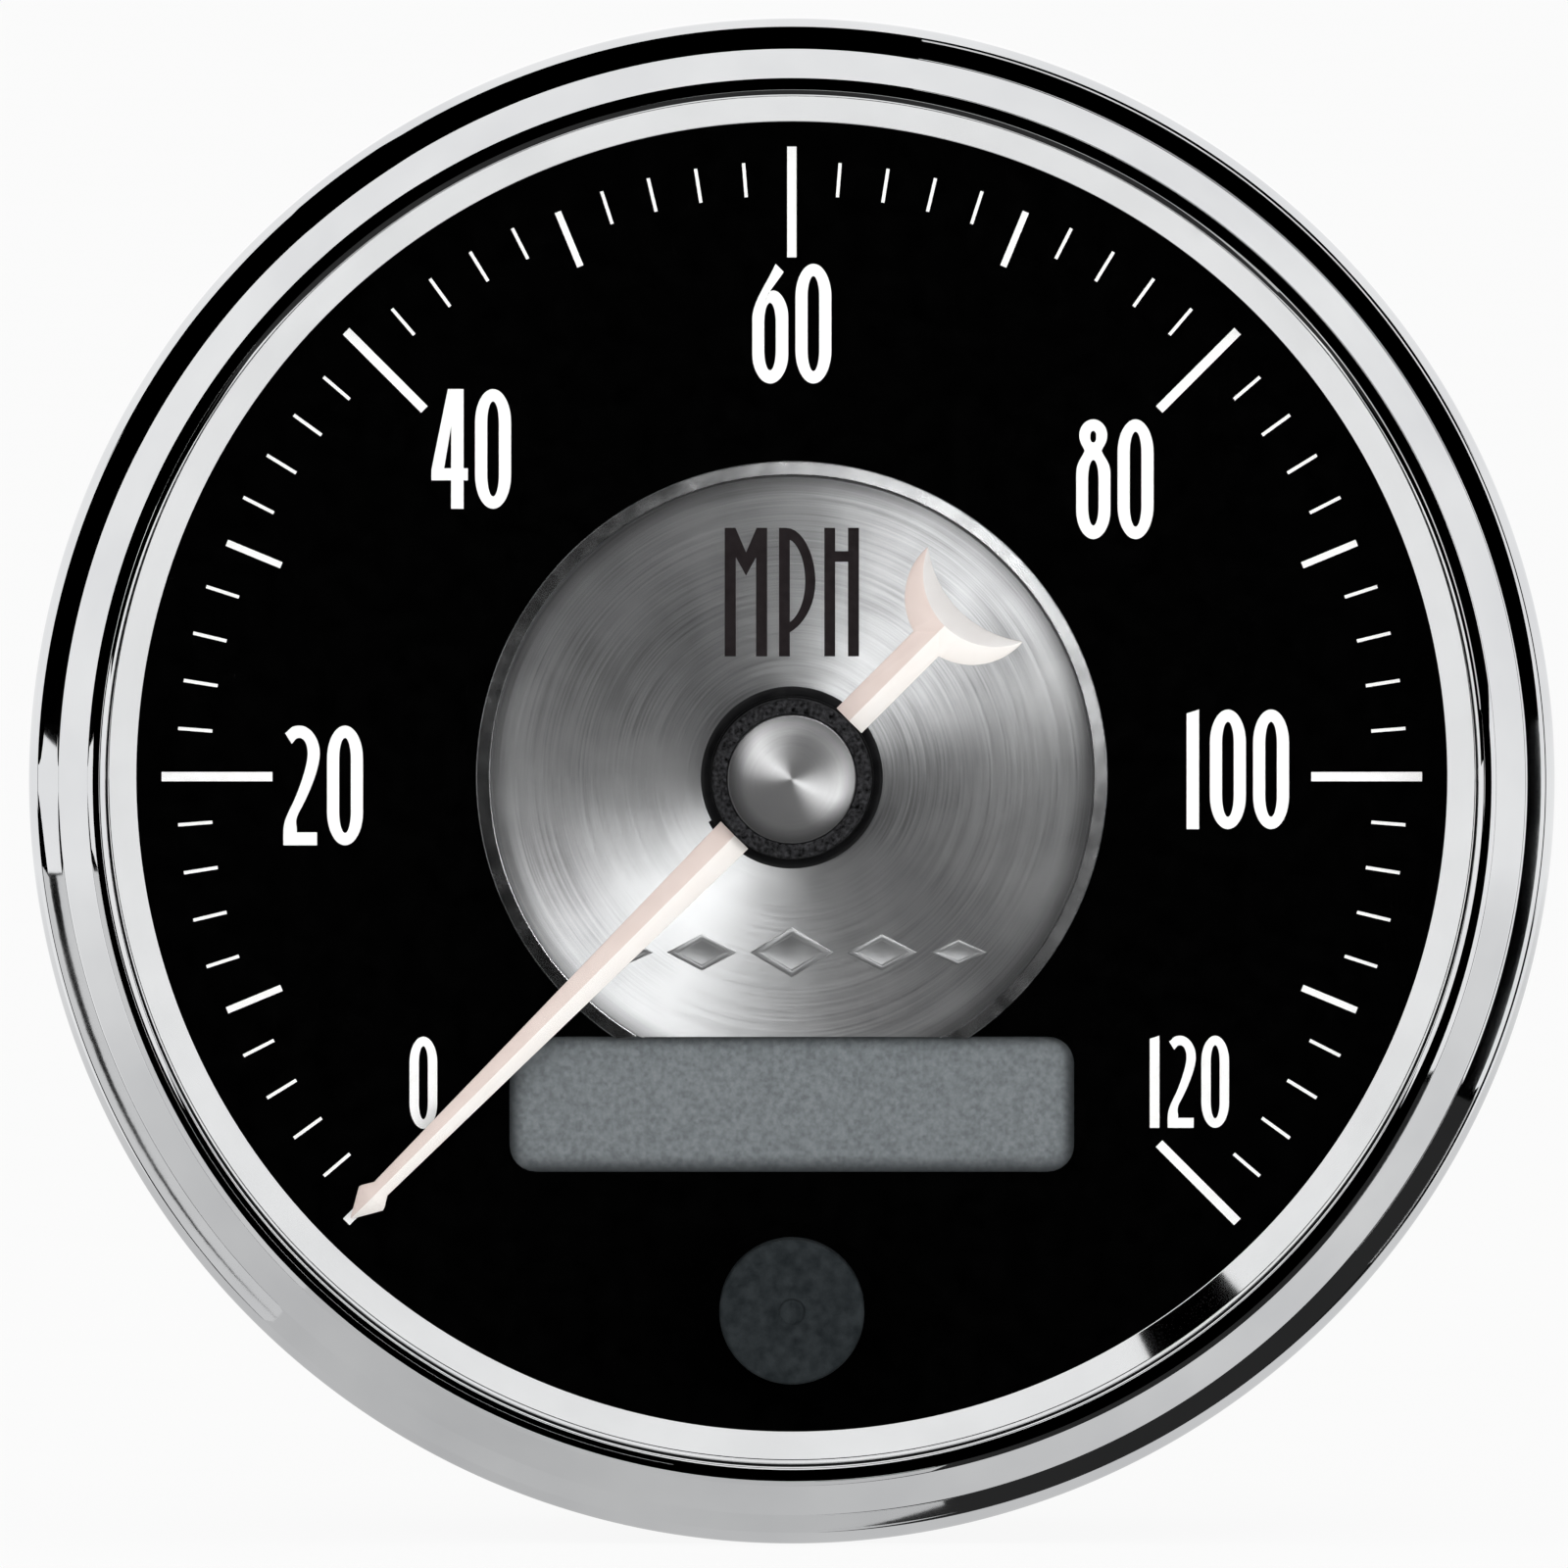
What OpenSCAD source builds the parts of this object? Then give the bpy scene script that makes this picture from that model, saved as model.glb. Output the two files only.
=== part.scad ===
// Panel-mounted electric speedometer with a chromed bezel, a faceted pointer, a mileage display,
// a trip reset button and a geared stepper movement.
// Everything is drawn with the dial facing +Z and twelve o'clock at +Y, and is stood up at the end
// so that the dial faces -Y and +Z is up. The origin is the centre of the panel hole, on the face
// of the panel that the bezel rests on.

/* [Panel fit] */
// Diameter of the hole cut in the dash panel
panel_hole_d = 85.7; // [84:0.1:90]
// Gap between the case and the edge of the panel hole
panel_gap = 0.3; // [0.1:0.05:0.6]

/* [Bezel] */
// How far the bezel covers the panel beyond the outside of the case
bezel_overhang = 3.15; // [2.9:0.05:4]
// Thickness of the bezel's drawn metal
bezel_wall = 0.8; // [0.6:0.05:1]
// Thickness of the rear edge that is crimped behind the front ring
crimp_t = 0.8; // [0.5:0.05:1.2]
// How far the front lip reaches in past the outside of the case
lip_reach = 1.55; // [1.5:0.05:2]
// Radius of the rounded crest round the mouth
crest_r = 0.5; // [0.4:0.05:0.6]
// Height of the crest above the top of the glass seal
crest_h = 2; // [1.8:0.1:2.6]
// Slope of the step between the crest and the outer land
cone_angle = 42; // [38:1:45]
// Width of the outer land with its rounded shoulder
land_w = 1.8; // [1.6:0.05:2]
// Radius of the shoulder between the outer land and the side wall
shoulder_r = 0.8; // [0.5:0.05:1]

/* [Glass and trim ring] */
// Thickness of the glass
lens_t = 2; // [1.5:0.1:3]
// Thickness of the rubber under the glass
seal_under = 0.8; // [0.5:0.1:1.2]
// Thickness of the rubber over the glass
seal_over = 0.4; // [0.2:0.05:0.8]
// Thickness of the rubber round the edge of the glass
seal_web = 0.6; // [0.4:0.05:0.8]
// How far the glass and its rubber reach out under the bezel lip
seal_seat = 1.9; // [1.7:0.05:2]
// Thickness of the trim ring's metal
trim_t = 0.4; // [0.3:0.05:0.45]
// Width of the trim ring's sloping face, seen from the front
trim_slope_w = 1.4; // [1:0.1:2]
// Height of the trim ring's sloping face above the dial
trim_slope_h = 1.5; // [1:0.1:2.5]

/* [Dial] */
// Distance from the underside of the glass to the face of the dial
dial_drop = 6.4; // [6:0.1:9]
// Thickness of the dial plate
dial_t = 0.8; // [0.5:0.1:1.2]
// Speed at the end of the scale
top_speed = 120; // [80:20:160]
// Angle that the pointer sweeps from zero to the top speed
sweep_angle = 270; // [240:15:270]
// Gap between the trim ring and the outer ends of the longest marks
mark_inset = 1.77; // [1:0.05:3]
// Length of the longest marks
major_len = 6.65; // [4:0.05:8]
// Width of the longest marks
major_w = 0.56; // [0.4:0.02:0.8]
// Length of the middle marks
medium_len = 3.54; // [2:0.02:5]
// Width of the middle marks
medium_w = 0.4; // [0.3:0.02:0.6]
// Length of the shortest marks
minor_len = 2.06; // [1:0.02:3]
// Width of the shortest marks
minor_w = 0.2; // [0.15:0.01:0.3]
// Thickness of the printed marks
print_t = 0.04; // [0.02:0.01:0.1]

/* [Centre medallion] */
// Radius of the brushed metal medallion
medallion_r = 18.95; // [17:0.05:20]
// Width of its raised rim
medallion_rim_w = 0.85; // [0.5:0.05:1.5]
// Height of its rim above the dial
medallion_rim_h = 0.6; // [0.4:0.05:0.8]
// Thickness of its face
medallion_face_t = 0.25; // [0.15:0.05:0.35]
// Height of the lozenges above the medallion's face
ornament_h = 0.2; // [0.1:0.05:0.4]
// Length of the middle lozenge
lozenge_len = 5; // [4:0.1:6]
// Width of the middle lozenge
lozenge_w = 3; // [2:0.1:4]

/* [Mileage display] */
// Width of the window in the dial
window_w = 33.9; // [28:0.1:35]
// Height of the window in the dial
window_h = 8.15; // [6:0.05:9]
// Distance from the pointer's axis to the top edge of the window
window_top = 15.62; // [15:0.02:16.4]
// Radius of the window's corners
window_corner_r = 1.6; // [0.5:0.1:2.5]
// How far the display glass reaches behind the dial beyond the window
lcd_border = 1.5; // [1:0.1:1.8]
// Thickness of the display glass
lcd_t = 1.8; // [1:0.1:2.5]

/* [Reset button] */
// Radius of the button where it comes through the glass
button_r = 4.35; // [3.5:0.05:4.6]
// Distance from the trim ring to the middle of the button
button_inset = 7.85; // [7.4:0.05:8.2]
// Height of the button above the glass
button_proud = 1.4; // [1.2:0.1:1.8]
// How far the button travels when it is pressed
button_travel = 1.2; // [0.6:0.1:1.2]
// Radius of the button's stem
button_stem_r = 2.2; // [1.8:0.1:2.6]

/* [Pointer and hub] */
// Gap between the tip of the pointer and the outer ends of the longest marks
tip_inset = 0.45; // [0.1:0.05:2]
// Half width of the blade at the hub
blade_root_w = 1.16; // [0.9:0.02:1.4]
// Half width of the blade at the neck behind the tip
blade_neck_w = 0.57; // [0.4:0.01:0.8]
// Half width of the spade tip
spade_w = 1.02; // [0.8:0.02:1.3]
// Length of the spade tip
spade_len = 2.5; // [2:0.1:3.5]
// Half width of the tail
tail_w = 1.06; // [0.8:0.02:1.3]
// Distance from the axis to the line between the tips of the tail's crescent
crescent_x = 15.6; // [13:0.1:17]
// Half the distance between the tips of the tail's crescent
crescent_half = 4.03; // [3:0.05:4.5]
// Height of the pointer's upright edges
pointer_edge = 0.35; // [0.2:0.05:0.5]
// Radius of the hub's base
hub_base_r = 5.47; // [5:0.05:6]
// Radius of the hub's cover
hub_cover_r = 4.8; // [4.2:0.05:5]
// Radius of the hub's metal cap
hub_cap_r = 3.87; // [3:0.05:4]
// Gap between the hub and the dial
hub_lift = 1.1; // [0.9:0.1:1.5]

/* [Movement] */
// Module of the gear teeth
gear_module = 0.3; // [0.28:0.01:0.32]
// Number of teeth on the wheels
wheel_teeth = 50; // [46:1:52]
// Number of teeth on the pinions
pinion_teeth = 10; // [9:1:12]
// Radius of the pointer's spindle
spindle_r = 0.5; // [0.4:0.05:0.6]
// Height of the movement above the circuit board
motor_h = 9.5; // [9.2:0.1:11]
// Thickness of the movement's housing
motor_wall = 0.8; // [0.6:0.05:0.9]

/* [Board and case] */
// Distance from the back of the dial to the circuit board
tray_h = 12; // [11.8:0.1:16]
// Thickness of the circuit board
board_t = 1.6; // [1:0.1:2]
// Distance from the circuit board to the back wall of the case
rear_space = 16.8; // [14:0.1:24]
// Thickness of the case's side wall
case_wall = 1; // [0.9:0.05:1.05]
// Thickness of the case's back wall
back_wall = 1.6; // [1.2:0.1:2.4]
// Thickness of the front ring's flange
flange_t = 1.2; // [0.8:0.1:1.6]
// Chamfer round the back edge of the case
back_chamfer = 1; // [0.5:0.1:1.2]

/* [Harness socket] */
// Width of the socket's shroud
socket_w = 21; // [18:0.5:24]
// Height of the socket's shroud
socket_h = 10.4; // [9:0.1:12]
// Wall of the socket's shroud
socket_wall = 1.2; // [0.8:0.1:1.5]
// Depth of the cavity that takes the plug
socket_depth = 9.5; // [8:0.5:12]
// How far the socket stands out behind the case
socket_proud = 11; // [10.5:0.5:14]

/* [Clamp] */
// Radius of the mounting studs
stud_r = 2; // [1.5:0.1:2.5]
// Distance between the mounting studs
stud_spacing = 44; // [38:1:48]
// Length of the mounting studs behind the case
stud_len = 26; // [22:1:32]
// Thickness of the clamp's strap
strap_t = 1.5; // [1:0.1:2]
// Width of the clamp's strap
strap_w = 14; // [10:0.5:16]
// Gap between the clamp's legs and the case
strap_gap = 1.05; // [0.8:0.05:1.4]
// Space left for the panel between the bezel and the ends of the clamp's legs
panel_space = 6; // [5:0.5:8]
// Gap between the clamp's strap and the back of the case
strap_back_gap = 4; // [3.2:0.1:6]
// Inside radius of the clamp's bends
bend_r = 2; // [1:0.1:2.5]
// Distance across the flats of the clamp nuts
nut_flats = 7; // [6:0.5:8]
// Thickness of the clamp nuts
nut_t = 3.2; // [2.4:0.1:4]
// Thickness of the lock washers
washer_t = 1; // [0.6:0.1:1.4]

/* [Hidden] */
$fn = 96;

// Clearances
fit = 0.01;        // between pieces that are pressed together
running = 0.04;    // between a shaft and its hole
thread_gap = 0.06; // between a stud and its nut
loose = 0.3;       // between pieces that drop into each other
overcut = 1;       // how far a cutting tool runs past the face it cuts

// Radii of the case, the bezel and what they hold
case_r = panel_hole_d / 2 - panel_gap;
case_bore_r = case_r - case_wall;
bezel_r = case_r + bezel_overhang;
pocket_r = bezel_r - bezel_wall;
spigot_step = 0.45;
spigot_r = case_r - spigot_step;
crimp_step = 0.45;
crimp_land_r = case_r + crimp_step;
crimp_hole_r = crimp_land_r + loose / 2;
flange_r = pocket_r - loose;
mouth_r = case_r - lip_reach;
seat_r = mouth_r + seal_seat + loose / 3;
seal_r = mouth_r + seal_seat;
lens_r = seal_r - seal_web;
window_r = mouth_r - trim_slope_w;
dial_r = case_bore_r - loose;

// Levels along the axis, from the panel forwards
flange_z = crimp_t;
trim_z = flange_z + flange_t;
seal_z = trim_z + trim_t;
lens_z = seal_z + seal_under;
lens_top = lens_z + lens_t;
lip_z = lens_top + seal_over;
crest_z = lip_z + crest_h;
// and from the glass backwards
dial_z = lens_z - dial_drop;
dial_back = dial_z - dial_t;
board_z = dial_back - tray_h;
board_back = board_z - board_t;
back_in = board_back - rear_space;
back_out = back_in - back_wall;

// Bezel step, worked out from the crest
crest_x = mouth_r + crest_r;
crest_y = crest_z - crest_r;
land_x = bezel_r - land_w;
cone_top = [crest_x + crest_r * sin(cone_angle), crest_y + crest_r * cos(cone_angle)];
land_z = cone_top[1] - (land_x - cone_top[0]) * tan(cone_angle);
step_z = land_z - bezel_wall;
rear_bevel = bezel_wall / 2;

// Dial
zero_angle = 90 + sweep_angle / 2;
mark_r = window_r - mark_inset;
medium_r = mark_r - 1.13;
minor_r = mark_r - 0.88;
speed_step = 2;
dial_hole_r = 2;

// Display
window_y = -window_top - window_h / 2;
lcd_w = window_w + 2 * lcd_border;
lcd_h = window_h + 2 * lcd_border;
lcd_top = dial_back - loose;
lcd_bottom = lcd_top - lcd_t;
holder_wall = 1.2;
ledge_w = 1;
lcd_pin_r = 0.25;
lcd_pin_count = 12;
lcd_pin_inset = 0.5;
backlight_gap = 0.8;

// Reset button and its switch
button_y = -(window_r - button_inset);
button_top = lens_top + button_proud;
button_flange_r = button_r + 0.8;
button_flange_t = 0.8;
button_flange_top = lens_z - loose;
button_gate_r = 0.75;
switch_w = 6.2;
switch_h = 4;
plunger_r = 1.7;
plunger_proud = button_travel + 1.2;
plunger_depth = 1.5;
plunger_top = board_z + switch_h + plunger_proud;

// Hub and pointer
roof_slope = 0.55;
hub_base_t = 0.8;
hub_plate_t = pointer_edge;
hub_cover_t = 2.05;
hub_cap_recess = 0.45;
hub_cap_t = 0.6;
hub_cap_crown = 0.15;
hub_z = dial_z + hub_lift;
pointer_z = hub_z + hub_base_t;
hub_cover_z = pointer_z + hub_plate_t;
hub_top = hub_cover_z + hub_cover_t;
tip_r = mark_r - tip_inset;
neck_r = tip_r - spade_len;
tip_blunt_w = 0.06;
crescent_hub_side = 4.35;
crescent_ridge = 2.65;
crescent_hollow = 1.4;
horn_cut = 0.985;
horn_steps = 20;

// Gear train
wheel_r = gear_module * wheel_teeth / 2;
pinion_r = gear_module * pinion_teeth / 2;
gear_distance = wheel_r + pinion_r;
pressure_angle = 20;
pinion_shift = 0.4;
flank_steps = 3;
backlash = 0.06;
idler_y = gear_distance;
rotor_y = 2 * gear_distance;
wheel_t = 1;
level_gap = 0.4;
axle_r = 0.4;
collar_r = 1.15;

// Movement levels, from the circuit board forwards
motor_floor = board_z + motor_wall;
motor_top = board_z + motor_h;
motor_roof = motor_top - motor_wall;
motor_split = board_z + motor_h / 2;
stator_lift = 1.3;
stator_z = motor_floor + stator_lift;
stator_t = 1.2;
stator_mid = stator_z + stator_t / 2;
rotor_lift = 0.6;
rotor_z = motor_floor + rotor_lift;
magnet_h = 3.2;
magnet_r = 3;
rotor_gap = 0.4;
rotor_pinion_z = rotor_z + magnet_h;
output_hub_r = 2;
output_hub_t = 1.5;
output_wheel_z = motor_roof - level_gap - output_hub_t;
idler_wheel_z = output_wheel_z - level_gap - wheel_t;

// Movement outline
wheel_side_room = 5;
wheel_end_room = 2.5;
rotor_end_room = 5.5;
motor_half_w = wheel_r + wheel_side_room;
motor_low = -(wheel_r + wheel_end_room);
motor_high = rotor_y + rotor_end_room;
motor_corner = 2;
limb_gap = 0.5;
limb_x = wheel_r + limb_gap;
limb_w = 1.6;
yoke_gap = 2;
yoke_low = motor_low + motor_wall + yoke_gap;
yoke_w = 1;
coil_end_gap = 1.6;
coil_low = yoke_low + limb_w + coil_end_gap;
coil_high = rotor_y - magnet_r - rotor_gap - yoke_w - coil_end_gap;
stator_foot_y = 3;
bobbin_r = 1.3;
bobbin_flange_r = 1.8;
bobbin_flange_t = 0.6;
winding_r = 1.7;
motor_pin_r = 0.35;
motor_pin_inset = 0.9;
motor_pin_end = 3;
motor_pin_x = motor_half_w - motor_wall - motor_pin_inset;
motor_pin_ys = [motor_low + motor_pin_end, motor_high - motor_pin_end];
bushing_flange_r = 2.2;
bushing_flange_t = 0.5;
bushing_r = 1.6;

// Board fixings and components
screw_inset = 7.2;
screw_circle_r = dial_r - screw_inset;
screw_angles = [40, 140, 220, 320];
screw_r = 0.95;
screw_head_r = 2.4;
screw_head_t = 1.6;
screw_len = 7;
post_r = 3;
led_inset = 11.2;
led_circle_r = dial_r - led_inset;
led_angles = [15, 65, 115, 165, 195, 345];
led_size = [3.2, 2.8, 1.9];
tray_rim = 1.5;
tray_foot = 2.8;
processor_size = [10, 10, 1.6];
processor_place = [-15, 13];
driver_size = [7.8, 5.3, 1.8];
driver_place = [15, 13];
regulator_size = [6.5, 6.1, 2.3];
regulator_place = [15, 2];
crystal_size = [11, 4.6, 3.5];
crystal_place = [-15, 2];
capacitor_r = 4;
capacitor_h = 10;
capacitor_x = 5;
capacitor_y = 18;

// Harness socket
socket_drop = 4.4;
socket_y = -(window_top + socket_drop);
socket_end = back_out - socket_proud;
socket_floor = socket_end + socket_depth;
pin_w = 1;
pin_pitch = 2.8;
pin_count = 6;
pin_proud = 4.5;
key_w = 4;

// Clamp
stud_head_r = 4.5;
stud_head_t = 1.2;
stud_end = back_out - stud_len;
strap_z = back_out - strap_back_gap;
leg_x = case_r + strap_gap;
strap_back = strap_z - strap_t;
washer_z = strap_back - washer_t;
nut_z = washer_z - nut_t;
washer_r = nut_flats / 2 + 0.3;
washer_slit = 0.8;
vent_r = 1.2;
vent_y = 24;

// Shared shapes

// Stands the piece up: the dial turns from +Z to face -Y, with twelve o'clock at +Z
module in_dash() {
  rotate([90, 0, 0]) children();
}

module tube(outer_r, inner_r, z0, z1) {
  rotate_extrude() translate([inner_r, z0]) square([outer_r - inner_r, z1 - z0]);
}

module rod(r, z0, z1) {
  translate([0, 0, z0]) cylinder(r = r, h = z1 - z0);
}

module block(w, h, z0, z1) {
  translate([-w / 2, -h / 2, z0]) cube([w, h, z1 - z0]);
}

module at(x, y) {
  translate([x, y, 0]) children();
}

module around(circle_r, angles) {
  for (a = angles) rotate(a) at(circle_r, 0) rotate(-a) children();
}

function polar(r, a) = [r * cos(a), r * sin(a)];
function arc(c, r, a0, a1, steps = 8) =
  [for (i = [0 : steps]) c + polar(r, a0 + (a1 - a0) * i / steps)];
function rounded_box(x0, y0, x1, y1, r) = concat(
  arc([x1 - r, y1 - r], r, 0, 90, 6), arc([x0 + r, y1 - r], r, 90, 180, 6),
  arc([x0 + r, y0 + r], r, 180, 270, 6), arc([x1 - r, y0 + r], r, 270, 360, 6));

module slab(points, z0, z1) {
  translate([0, 0, z0]) linear_extrude(height = z1 - z0) polygon(points);
}

// Closed skin over a row of cross-sections, each with the same number of points
function joined(lists) = [for (l = lists) for (p = l) p];
module loft(sections) {
  n = len(sections);
  m = len(sections[0]);
  sides = [for (i = [0 : n - 2]) for (j = [0 : m - 1]) let (a = i * m + j, b = i * m + (j + 1) % m)
    each [[a, a + m, b], [b, a + m, b + m]]];
  caps = [for (j = [1 : m - 2])
    each [[0, j, j + 1], [(n - 1) * m, (n - 1) * m + j + 1, (n - 1) * m + j]]];
  polyhedron(points = joined(sections), faces = concat(sides, caps));
}

// Involute gear outline with its first tooth along +X
function involute(angle) = tan(angle) * 180 / PI - angle;
function tooth_half_angle(r, pitch_r, base_r, thickness) =
  thickness / (2 * pitch_r) * 180 / PI + involute(pressure_angle)
  - (r > base_r ? involute(acos(base_r / r)) : 0);
function gear_points(teeth, shift) =
  let (pitch_r = gear_module * teeth / 2,
       base_r = pitch_r * cos(pressure_angle),
       tip = pitch_r + gear_module * (0.95 + shift),
       root = pitch_r - gear_module * (1.25 - shift),
       start = max(base_r, root),
       thickness = gear_module * (PI / 2 + 2 * shift * tan(pressure_angle)) - backlash,
       flank = [for (i = [0 : flank_steps]) start + (tip - start) * i / flank_steps],
       radii = root < base_r ? concat([root], flank) : flank)
  [for (k = [0 : teeth - 1]) let (middle = k * 360 / teeth)
    each concat(
      [for (r = radii) polar(r, middle - tooth_half_angle(r, pitch_r, base_r, thickness))],
      [for (i = [len(radii) - 1 : -1 : 0])
        polar(radii[i], middle + tooth_half_angle(radii[i], pitch_r, base_r, thickness))])];

module gear(teeth, shift, z0, z1, first_tooth) {
  rotate(first_tooth) slab(gear_points(teeth, shift), z0, z1);
}

// Bezel and glass

// Chromed ring: crimped rear edge, side wall, outer land, sloping step and rounded crest
module bezel() {
  color("gainsboro") rotate_extrude() polygon(concat(
    [[crimp_hole_r, 0], [crimp_hole_r, crimp_t], [pocket_r, crimp_t], [pocket_r, step_z],
     [seat_r, step_z], [seat_r, lip_z], [mouth_r, lip_z]],
    arc([crest_x, crest_y], crest_r, 180, 90 - cone_angle, 10),
    [[land_x, land_z]],
    arc([bezel_r - shoulder_r, land_z - shoulder_r], shoulder_r, 90, 0),
    [[bezel_r, rear_bevel], [bezel_r - rear_bevel, 0]]));
}

// Flat glass with a hole for the reset button
module lens() {
  color([0.85, 0.9, 0.92, 0.3]) difference() {
    rod(lens_r, lens_z, lens_top);
    at(0, button_y) rod(button_r + loose / 2, lens_z - overcut, lens_top + overcut);
  }
}

// Rubber channel that grips the edge of the glass
module lens_gasket() {
  inner_r = mouth_r + loose;
  color("black") rotate_extrude() polygon([
    [inner_r, seal_z], [seal_r, seal_z], [seal_r, lip_z], [inner_r, lip_z],
    [inner_r, lens_top], [lens_r, lens_top], [lens_r, lens_z], [inner_r, lens_z]]);
}

// Bright ring between the glass and the dial, with a sloping foot that holds the dial down
module trim_ring() {
  slope_top = dial_z + trim_slope_h;
  color("whitesmoke") rotate_extrude() polygon([
    [flange_r, trim_z], [flange_r, seal_z], [mouth_r, seal_z], [mouth_r, slope_top],
    [window_r, dial_z + trim_t / 4], [window_r, dial_z], [window_r + trim_t, dial_z],
    [mouth_r + trim_t, slope_top - trim_t / 2], [mouth_r + trim_t, trim_z]]);
}

// Dial

module window_hole(grow, z0, z1) {
  half_w = window_w / 2 + grow;
  half_h = window_h / 2 + grow;
  slab(rounded_box(-half_w, window_y - half_h, half_w, window_y + half_h, window_corner_r + grow),
       z0, z1);
}

module dial_plate() {
  color([0.02, 0.02, 0.02]) difference() {
    rod(dial_r, dial_back, dial_z);
    rod(dial_hole_r, dial_back - overcut, dial_z + overcut);
    at(0, button_y) rod(button_stem_r + loose, dial_back - overcut, dial_z + overcut);
    window_hole(0, dial_back - overcut, dial_z + overcut);
  }
}

module mark(angle, outer_r, length, width) {
  rotate(angle) translate([outer_r - length, -width / 2, dial_z]) cube([length, width, print_t]);
}

// Long marks at every twenty, middle ones at the tens between, short ones at every second mile
module dial_marks() {
  color("white") for (speed = [0 : speed_step : top_speed]) {
    angle = zero_angle - speed * sweep_angle / top_speed;
    if (speed % 20 == 0) mark(angle, mark_r, major_len, major_w);
    else if (speed % 10 == 0) mark(angle, medium_r, medium_len, medium_w);
    else mark(angle, minor_r, minor_len, minor_w);
  }
}

// Spun metal disc with a bevelled rim, cut straight along the top of the window
module center_medallion() {
  rim_top = dial_z + medallion_rim_h;
  face = dial_z + medallion_face_t;
  rim_in = medallion_r - medallion_rim_w;
  bevel = medallion_rim_w / 3;
  color("silver") difference() {
    rotate_extrude() polygon([
      [dial_hole_r, dial_z], [medallion_r, dial_z], [medallion_r, face],
      [medallion_r - bevel, rim_top], [rim_in + bevel, rim_top], [rim_in, face], [dial_hole_r, face]]);
    translate([-medallion_r, -2 * medallion_r, dial_z - overcut])
      cube([2 * medallion_r, 2 * medallion_r - window_top, medallion_rim_h + 2 * overcut]);
  }
}

// Row of raised lozenges on the medallion, the middle one the largest
module medallion_ornament() {
  face = dial_z + medallion_face_t;
  middle_y = -(hub_base_r + window_top) / 2;
  lengths = lozenge_len * [1, 0.84, 0.68];
  widths = lozenge_w * [1, 0.73, 0.5];
  places = lozenge_len * [0, 1.08, 2];
  color("lightgray") for (side = [-1, 1]) for (i = [side < 0 ? 1 : 0 : 2])
    at(side * places[i], middle_y)
      slab([for (a = [0 : 90 : 270]) [cos(a) * lengths[i] / 2, sin(a) * widths[i] / 2]],
           face, face + ornament_h);
}

// Mileage display

module lcd_panel() {
  color("slategray") at(0, window_y) block(lcd_w, lcd_h, lcd_bottom, lcd_top);
}

// Frame that stands on the board and carries the display glass on a ledge
module lcd_holder() {
  outer = holder_wall + loose / 2;
  color("dimgray") at(0, window_y) difference() {
    block(lcd_w + 2 * outer, lcd_h + 2 * outer, board_z, lcd_top);
    block(lcd_w + loose, lcd_h + loose, lcd_bottom, lcd_top + overcut);
    block(lcd_w - 2 * ledge_w, lcd_h - 2 * ledge_w, board_z - overcut, lcd_top);
  }
}

// Clear block that spreads light behind the display
module lcd_backlight() {
  inner_w = lcd_w - 2 * ledge_w - loose;
  inner_h = lcd_h - 2 * (ledge_w + backlight_gap + 2 * lcd_pin_r);
  color("white") at(0, window_y) block(inner_w, inner_h, board_z, lcd_bottom - loose);
}

// Wires from the lower edge of the display glass to the board
module lcd_pins() {
  pin_y = window_y - lcd_h / 2 + ledge_w + lcd_pin_inset;
  pitch = (lcd_w - 4 * ledge_w) / lcd_pin_count;
  color("gold") for (i = [0 : lcd_pin_count - 1])
    at((i - (lcd_pin_count - 1) / 2) * pitch, pin_y) rod(lcd_pin_r, board_z, lcd_bottom, $fn = 24);
}

// Board

// White reflector between the board and the rim of the dial
module light_tray() {
  color("white") rotate_extrude() polygon([
    [dial_r - tray_foot, board_z], [dial_r, board_z], [dial_r, dial_back], [dial_r - tray_rim, dial_back]]);
}

module circuit_board() {
  color("darkgreen") difference() {
    rod(dial_r, board_back, board_z);
    around(screw_circle_r, screw_angles)
      rod(screw_r + loose, board_back - overcut, board_z + overcut, $fn = 32);
    for (side = [-1, 1]) for (y = motor_pin_ys)
      at(side * motor_pin_x, y)
        rod(motor_pin_r + loose / 2, board_back - overcut, board_z + overcut, $fn = 32);
  }
}

module board_screws() {
  color("silver") around(screw_circle_r, screw_angles) difference() {
    union() {
      rod(screw_head_r, board_z, board_z + screw_head_t, $fn = 32);
      rod(screw_r, board_z - screw_len, board_z + screw_head_t / 2, $fn = 32);
    }
    for (turn = [0, 90]) rotate(turn)
      block(2 * screw_head_r * 0.6, 0.6, board_z + screw_head_t / 2, board_z + screw_head_t + overcut);
  }
}

module dial_leds() {
  color("lightyellow") around(led_circle_r, led_angles)
    block(led_size[0], led_size[1], board_z, board_z + led_size[2]);
}

module chip(size, place) {
  at(place[0], place[1]) block(size[0], size[1], board_back - size[2], board_back);
}

module processor_chip() {
  color([0.1, 0.1, 0.1]) chip(processor_size, processor_place);
}

module driver_chip() {
  color([0.1, 0.1, 0.1]) chip(driver_size, driver_place);
}

module voltage_regulator() {
  color([0.1, 0.1, 0.1]) chip(regulator_size, regulator_place);
}

// Metal can with round ends
module timing_crystal() {
  half = crystal_size / 2;
  color("silver") at(crystal_place[0], crystal_place[1])
    slab(rounded_box(-half[0], -half[1], half[0], half[1], half[1] * 0.95),
         board_back - crystal_size[2], board_back);
}

module filter_capacitors() {
  color("midnightblue") for (side = [-1, 1])
    at(side * capacitor_x, capacitor_y) rod(capacitor_r, board_back - capacitor_h, board_back, $fn = 48);
}

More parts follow.
